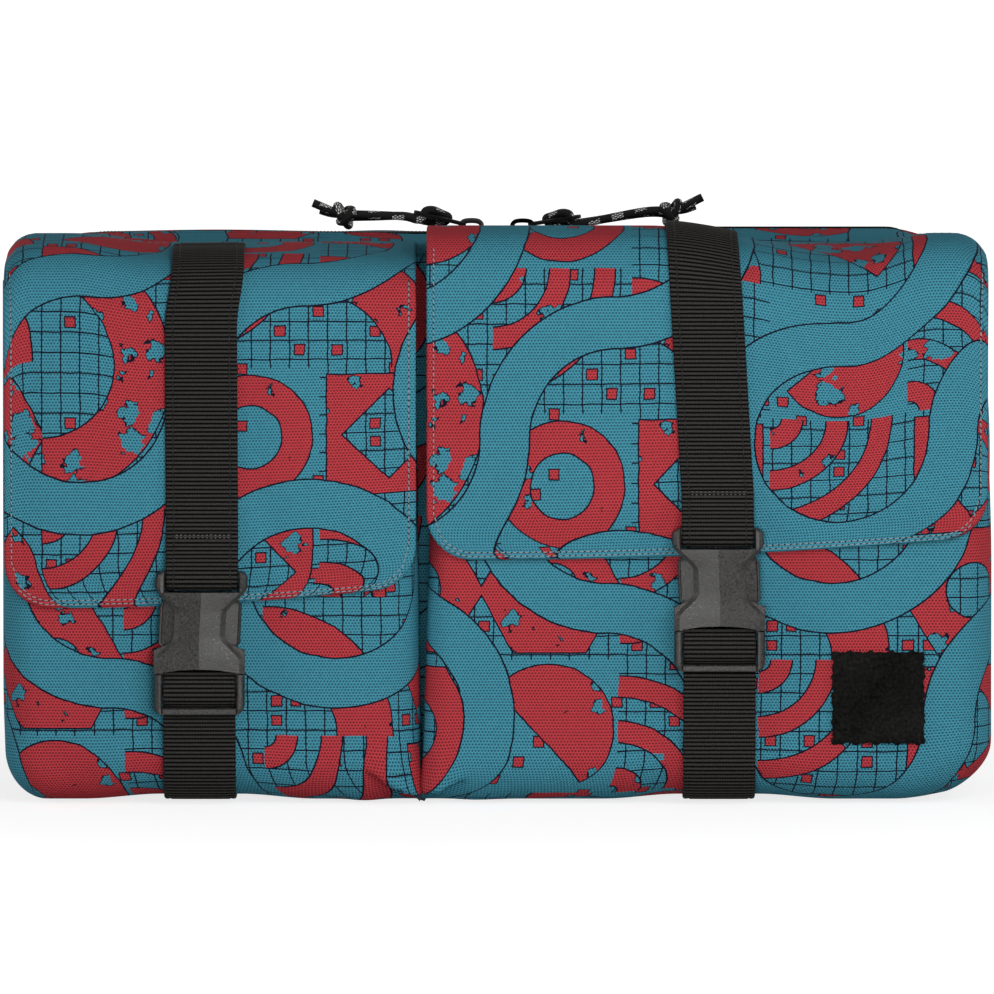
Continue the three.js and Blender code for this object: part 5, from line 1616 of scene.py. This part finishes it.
def make_slider(side):
    """Zip slider: two shield-shaped plates, the post between them and the bridge that holds the pull tab."""
    low, high = box_mm(f"{side}_zip_slider")
    centre = (low + high) / 2
    half = (high - low)[:2] / 2
    plate_top = JOINTS[f"{side}_pull_swing"]["pos_m"][2] / MM - BRIDGE_OPENING / 2
    lower = np.array([[-1, -0.72], [0.2, -1], [0.8, -1], [1, -0.6]])
    corners = np.concatenate([lower, lower[::-1] * [1, -1], lower[:1]])
    outline = rounded_line(corners * half)[:-1]
    post = np.array([[0.3, -0.06], [0.9, -0.06], [0.9, 0.06], [0.3, 0.06]]) * half
    shells = [rounded_plate(outline, plate_top - PLATE_THICKNESS, plate_top, 0.3),
              rounded_plate(outline, low[2], low[2] + PLATE_THICKNESS, 0.3),
              rounded_plate(post, low[2] + 0.5, plate_top - 0.5, 0.1)]
    reach = BRIDGE_LENGTH / 2 - BRIDGE_WALL / 2
    top = high[2] - BRIDGE_WALL / 2
    rising = np.array([[-reach, 0, plate_top - 0.4], [-reach, 0, plate_top + 1.2], [1.4 - reach, 0, top]])
    path = rounded_line(np.concatenate([rising, rising[::-1] * [-1, 1, 1]]))
    section = circle(1.0, BRIDGE_SIDES) * [BRIDGE_WALL / 2, BRIDGE_WIDTH / 2]
    shells.append((swept(path, section).reshape(-1, 3), ring_faces(len(path), BRIDGE_SIDES)))
    points, faces = joined(shells)
    points = points * [SIDES[side], SIDES[side], 1] + [centre[0], centre[1], 0]
    place(f"{side}_slider_body", points, faces, black_metal, f"{side}_slider",
          replaces=[f"{side}_zip_slider"])


def buckle_piece(name, side, shells, body, node, crease):
    """A buckle part on its strap, drawn flat: x across, up from the mouth, out from the buckle's back."""
    points, faces = joined(shells)
    across, up, out = points.T
    lean = BUCKLE_LEAN[side] * ease(up, *BUCKLE_LEAN_SPAN)
    placed = np.stack([STRAP_X[side] + across + lean, BUCKLE_BACK - out, MOUTH[side] + up], axis=1)
    piece = place(name, placed, faces, buckle_plastic, body, replaces=[node])
    piece.data.set_sharp_from_angle(angle=math.radians(crease))


def block(low, high, edge=0.25):
    """Box with softened edges between two corners."""
    outline = np.array([[low[0], low[1]], [high[0], low[1]], [high[0], high[1]], [low[0], high[1]]])
    return rounded_plate(outline, low[2], high[2], edge)


def two_blocks(low, high):
    """The same box on both sides of a buckle's middle."""
    return [block(low, high), block((-high[0], *low[1:]), (-low[0], *high[1:]))]


def lofted(up, across, out, back):
    """Bar with a flat back; each row of its front has one height up the buckle."""
    outer = grid_of(across, up[:, None], out)
    return closed_sheet(outer, outer * [1, 1, 0] + [0, 0, back])


def two_bars(up, across, out, back):
    """The same bar on both sides of a buckle's middle."""
    return [lofted(up, across, out, back), lofted(up, -across[:, ::-1], out[::-1], back)]


def socket_half(up):
    """Half the width of the socket: a waist between its mouth and the horns that hold the webbing."""
    mouth = (SOCKET_HALF - SOCKET_WAIST) * (1 - ease(up, 4.0, 13.6))
    horns = (SOCKET_HORNS - SOCKET_WAIST) * ease(up, 20.8, 30.4)
    top_round = rounded_drop(up - SOCKET_LENGTH + SOCKET_TOP_ROUND, SOCKET_TOP_ROUND)
    return SOCKET_WAIST + mouth + horns - top_round


def make_socket(side):
    """Socket: ridged front with a bevelled rim, back, mouth shoulders, horns and the bar between them."""
    up = np.linspace(SLOT_LOW, 0, 90)
    half = socket_half(up)[:, None]
    flat = half - SOCKET_RIM
    across = np.concatenate([-half, -flat, -flat / 2, 0 * flat, flat / 2, flat, half], axis=1)
    facets = SOCKET_RIDGE - FACET_FALL * np.abs(across) / flat
    out = np.where(np.abs(across) > flat + 0.01, SOCKET_EDGE, facets)
    arched = up[:, None] + MOUTH_ARCH * (1 - (across / half) ** 2) * (1 - ease(up, 0, 7))[:, None]
    outer = np.stack([across, arched, out], axis=-1)
    levels = [outer * [1, 1, 0] + [0, 0, level] for level in (CAVITY_TOP, CAVITY_FLOOR, GAP)]
    shells = [closed_sheet(outer, levels[0]), closed_sheet(levels[1], levels[2])]
    shells.append(block((-11, ARM_REACH + 0.8, GAP + 0.1), (11, SLOT_LOW, CAVITY_TOP + 0.6)))
    bar_half = SLOT_HALF + 0.3
    shells.append(block((-bar_half, SOCKET_LENGTH - SOCKET_BAR, 2.1), (bar_half, SOCKET_LENGTH, 5.1), 0.5))
    horn_up = np.linspace(SOCKET_LENGTH, SLOT_LOW - 0.6, 24)
    width = socket_half(horn_up)[:, None] - SLOT_HALF
    horn_across = SLOT_HALF + width * [0, 0.15, 0.5, 0.85, 1]
    shells += two_bars(horn_up, horn_across, np.array([6.9, 7.7, 7.8, 7.2, 6.2]), 0.8)
    shoulder = np.array([[8.6, 3.0], [SOCKET_HALF - 0.05, 0.4], [SOCKET_HALF - 0.05, 8.3], [9.2, 11.2]])
    for outline in (shoulder, shoulder[::-1] * [-1, 1]):
        shells.append(rounded_plate(outline, CAVITY_TOP + 0.02, SOCKET_EDGE - 0.12, 0.12))
    shells += two_blocks((SOCKET_HALF - 1.2, 0.3, 0.8), (SOCKET_HALF, 8.2, SOCKET_EDGE - 0.3))
    buckle_piece(f"{side}_socket_body", side, shells, "bag", f"{side}_buckle_socket", 6)


def make_plug(side):
    """Plug: the frame and bar that hold the webbing, and the two sprung arms that reach into the socket."""
    up = np.linspace(-0.35, -PLUG_FRAME_LENGTH, 30)
    width = (SOCKET_HALF - SLOT_HALF - rounded_drop(PLUG_ROUND - PLUG_FRAME_LENGTH - up, PLUG_ROUND))[:, None]
    rail = np.array([6.7, 7.2, 7.5, 7.6, 7.3, 6.6, 5.2])
    shells = two_bars(up, SLOT_HALF + width * [0, 0.08, 0.2, 0.5, 0.8, 0.92, 1], rail, 0.8)
    shells.append(block((-13, -PLUG_FRAME_LENGTH, 4.5), (13, PLUG_BAR - PLUG_FRAME_LENGTH, 7.0), 0.4))
    shells.append(block((-13, -7.6, 2.6), (13, -4.8, 5.0), 0.5))
    shells.append(block((-PLUG_HALF, 2.6, ARM_BACK), (PLUG_HALF, 4.6, ARM_BACK + 0.9)))
    shells += two_blocks((12.3, -1.7, ARM_BACK), (PLUG_HALF, 3.4, ARM_BACK + 1.6))
    shells.append(block((-2.2, 4, ARM_BACK + 0.4), (2.2, ARM_REACH - 4, ARM_BACK + 1.4)))
    up = np.linspace(ARM_REACH, ARM_ROOT, 50)
    outside = np.interp(up, [ARM_ROOT, 7.4, 9.6, 10.4, 23.6, 25.4, ARM_REACH],
                        [12.2, 13.1, 13.1, 14.2, 14.2, 12.9, 12.0])
    inside = np.interp(up, [ARM_ROOT, 24, ARM_REACH], [ARM_INNER, ARM_INNER, 11.5])
    across = inside[:, None] + (outside - inside)[:, None] * [0, 0.84, 0.88, 0.95, 1]
    arm = ARM_FRONT + np.array([0, -0.75, -0.2, -0.1, -1.2])
    shells += two_bars(up, across, arm, ARM_BACK)
    buckle_piece(f"{side}_plug_body", side, shells, f"{side}_plug", f"{side}_buckle_plug", 28)


def make_ring(side):
    """Webbing tab on the back and the round-wire ring that hangs in it."""
    low, high = box_mm(f"{side}_ring_tab")
    middle = (low[0] + high[0]) / 2
    ring_low, ring_high = box_mm(f"{side}_strap_ring")
    wire = (ring_high[1] - ring_low[1]) / 2
    bar_y = (ring_low[1] + ring_high[1]) / 2
    bar_z = ring_high[2] - wire
    turn = wire * 1.12 + GAP + WEB_HALF
    heights = np.linspace(high[2] - WEB_HALF * 0.2, bar_z + 8, 5)
    inner_x = middle - WEBBING_WIDTH / 2 * SIDES[side]
    flat = np.stack([back_depth(inner_x, heights) + GAP + WEB_HALF + 0.4, heights], axis=1)
    outside = flat[::-1] + [WEBBING_THICKNESS + GAP, -1]
    line = np.concatenate([flat, [[bar_y - turn, bar_z + 2]], arc(bar_y, bar_z, turn, 180, 360, 10),
                           [[bar_y + turn, bar_z + 2]], outside])
    webbing_piece(f"{side}_ring_webbing", line, lambda z: middle, "bag", [f"{side}_ring_tab"])
    half = (ring_high[0] - ring_low[0]) / 2 - wire
    drop = bar_z - ring_low[2] - wire
    bow = math.pi * np.linspace(0, 1, 40)
    bow_x = middle + half * np.cos(bow) * (1 - 0.12 * np.sin(bow))
    curve = grid_of(bow_x, bar_y, bar_z - drop * np.sin(bow) ** 0.6)
    bar = grid_of(np.linspace(middle - half, middle + half, 16)[1:-1], bar_y, bar_z)
    loop = np.concatenate([curve, bar])
    sides = 14
    rings = swept(loop, circle(wire, sides), closed=True)
    place(f"{side}_wire_ring", rings.reshape(-1, 3), ring_faces(len(loop), sides, closed=True), black_metal,
          f"{side}_ring", replaces=[f"{side}_strap_ring"])


# Stage


def seen_directly(tree):
    """1 for rays from the camera, from a mirror or through glass, 0 for the others."""
    path = tree.nodes.new("ShaderNodeLightPath")
    camera, glossy, through = (Number(tree, path.outputs[f"Is {kind} Ray"])
                               for kind in ("Camera", "Glossy", "Transmission"))
    return camera.most(glossy).most(through)


def make_floor():
    """White floor that shows the bag's shadow."""
    material, tree, shader = new_material("floor", 0.9, Base_Color=(0.5, 0.5, 0.5, 1), Specular_IOR_Level=0.0)
    x, y, _ = split_into(tree, tree.nodes.new("ShaderNodeTexCoord").outputs["Object"])
    glow = tree.nodes.new("ShaderNodeEmission")
    paler = x.distance(y).ramp(*FLOOR_GLOW_SPAN) * FLOOR_GLOW_GAIN + FLOOR_GLOW
    tree.links.new((seen_directly(tree) * paler).socket, glow.inputs["Strength"])
    both = tree.nodes.new("ShaderNodeAddShader")
    tree.links.new(shader.outputs[0], both.inputs[0])
    tree.links.new(glow.outputs[0], both.inputs[1])
    tree.links.new(both.outputs[0], tree.nodes["Material Output"].inputs["Surface"])
    corners = [(-1, -1, 0), (1, -1, 0), (1, 1, 0), (-1, 1, 0)]
    mesh = new_mesh("floor", np.array(corners) * FLOOR_REACH, [(0, 1, 2, 3)])
    mesh.materials.append(material)
    floor = add_object("floor", mesh)
    floor.location.z = FLOOR_HEIGHT * MM


def make_light():
    """White surroundings and soft lamps, four in front and two behind."""
    world = bpy.data.worlds.new("studio")
    scene.world = world
    world.use_nodes = True
    tree = world.node_tree
    strength = seen_directly(tree) * (1 - WORLD_LIGHT) + WORLD_LIGHT
    background = tree.nodes["Background"]
    background.inputs["Color"].default_value = (1, 1, 1, 1)
    tree.links.new(strength.socket, background.inputs["Strength"])
    for name, place_at, size, power in LAMPS:
        data = bpy.data.lights.new(name, "AREA")
        data.shape = "RECTANGLE"
        data.size, data.size_y = size
        data.energy = power
        lamp = add_object(name, data)
        lamp.location = place_at
        x, y, z = LAMP_AIM - place_at
        lamp.rotation_euler = (math.atan2(math.hypot(x, y), -z), 0, math.atan2(x, -y) + math.pi)


scene.view_settings.view_transform = "Standard"
make_camera()
for side_name, cord_shape in CORD_SHAPES.items():
    make_pull_cord(side_name, **cord_shape)
make_floor()
make_light()
make_main_front()
for side_name in SIDES:
    make_side(side_name)
make_bottom()
make_top_strips()
make_tapes()
make_back()
make_coils()
pocket_fronts = {}
for side_name in SIDES:
    pocket_fronts[side_name] = make_pocket(side_name)
    make_flap(side_name)
    make_flap_strap(side_name)
    make_lower_strap(side_name)
    make_ring(side_name)
    make_socket(side_name)
    make_plug(side_name)
    make_slider(side_name)
    dress_node(f"{side_name}_pull_tab", black_metal, 0.3)
make_patch(pocket_fronts["right"])
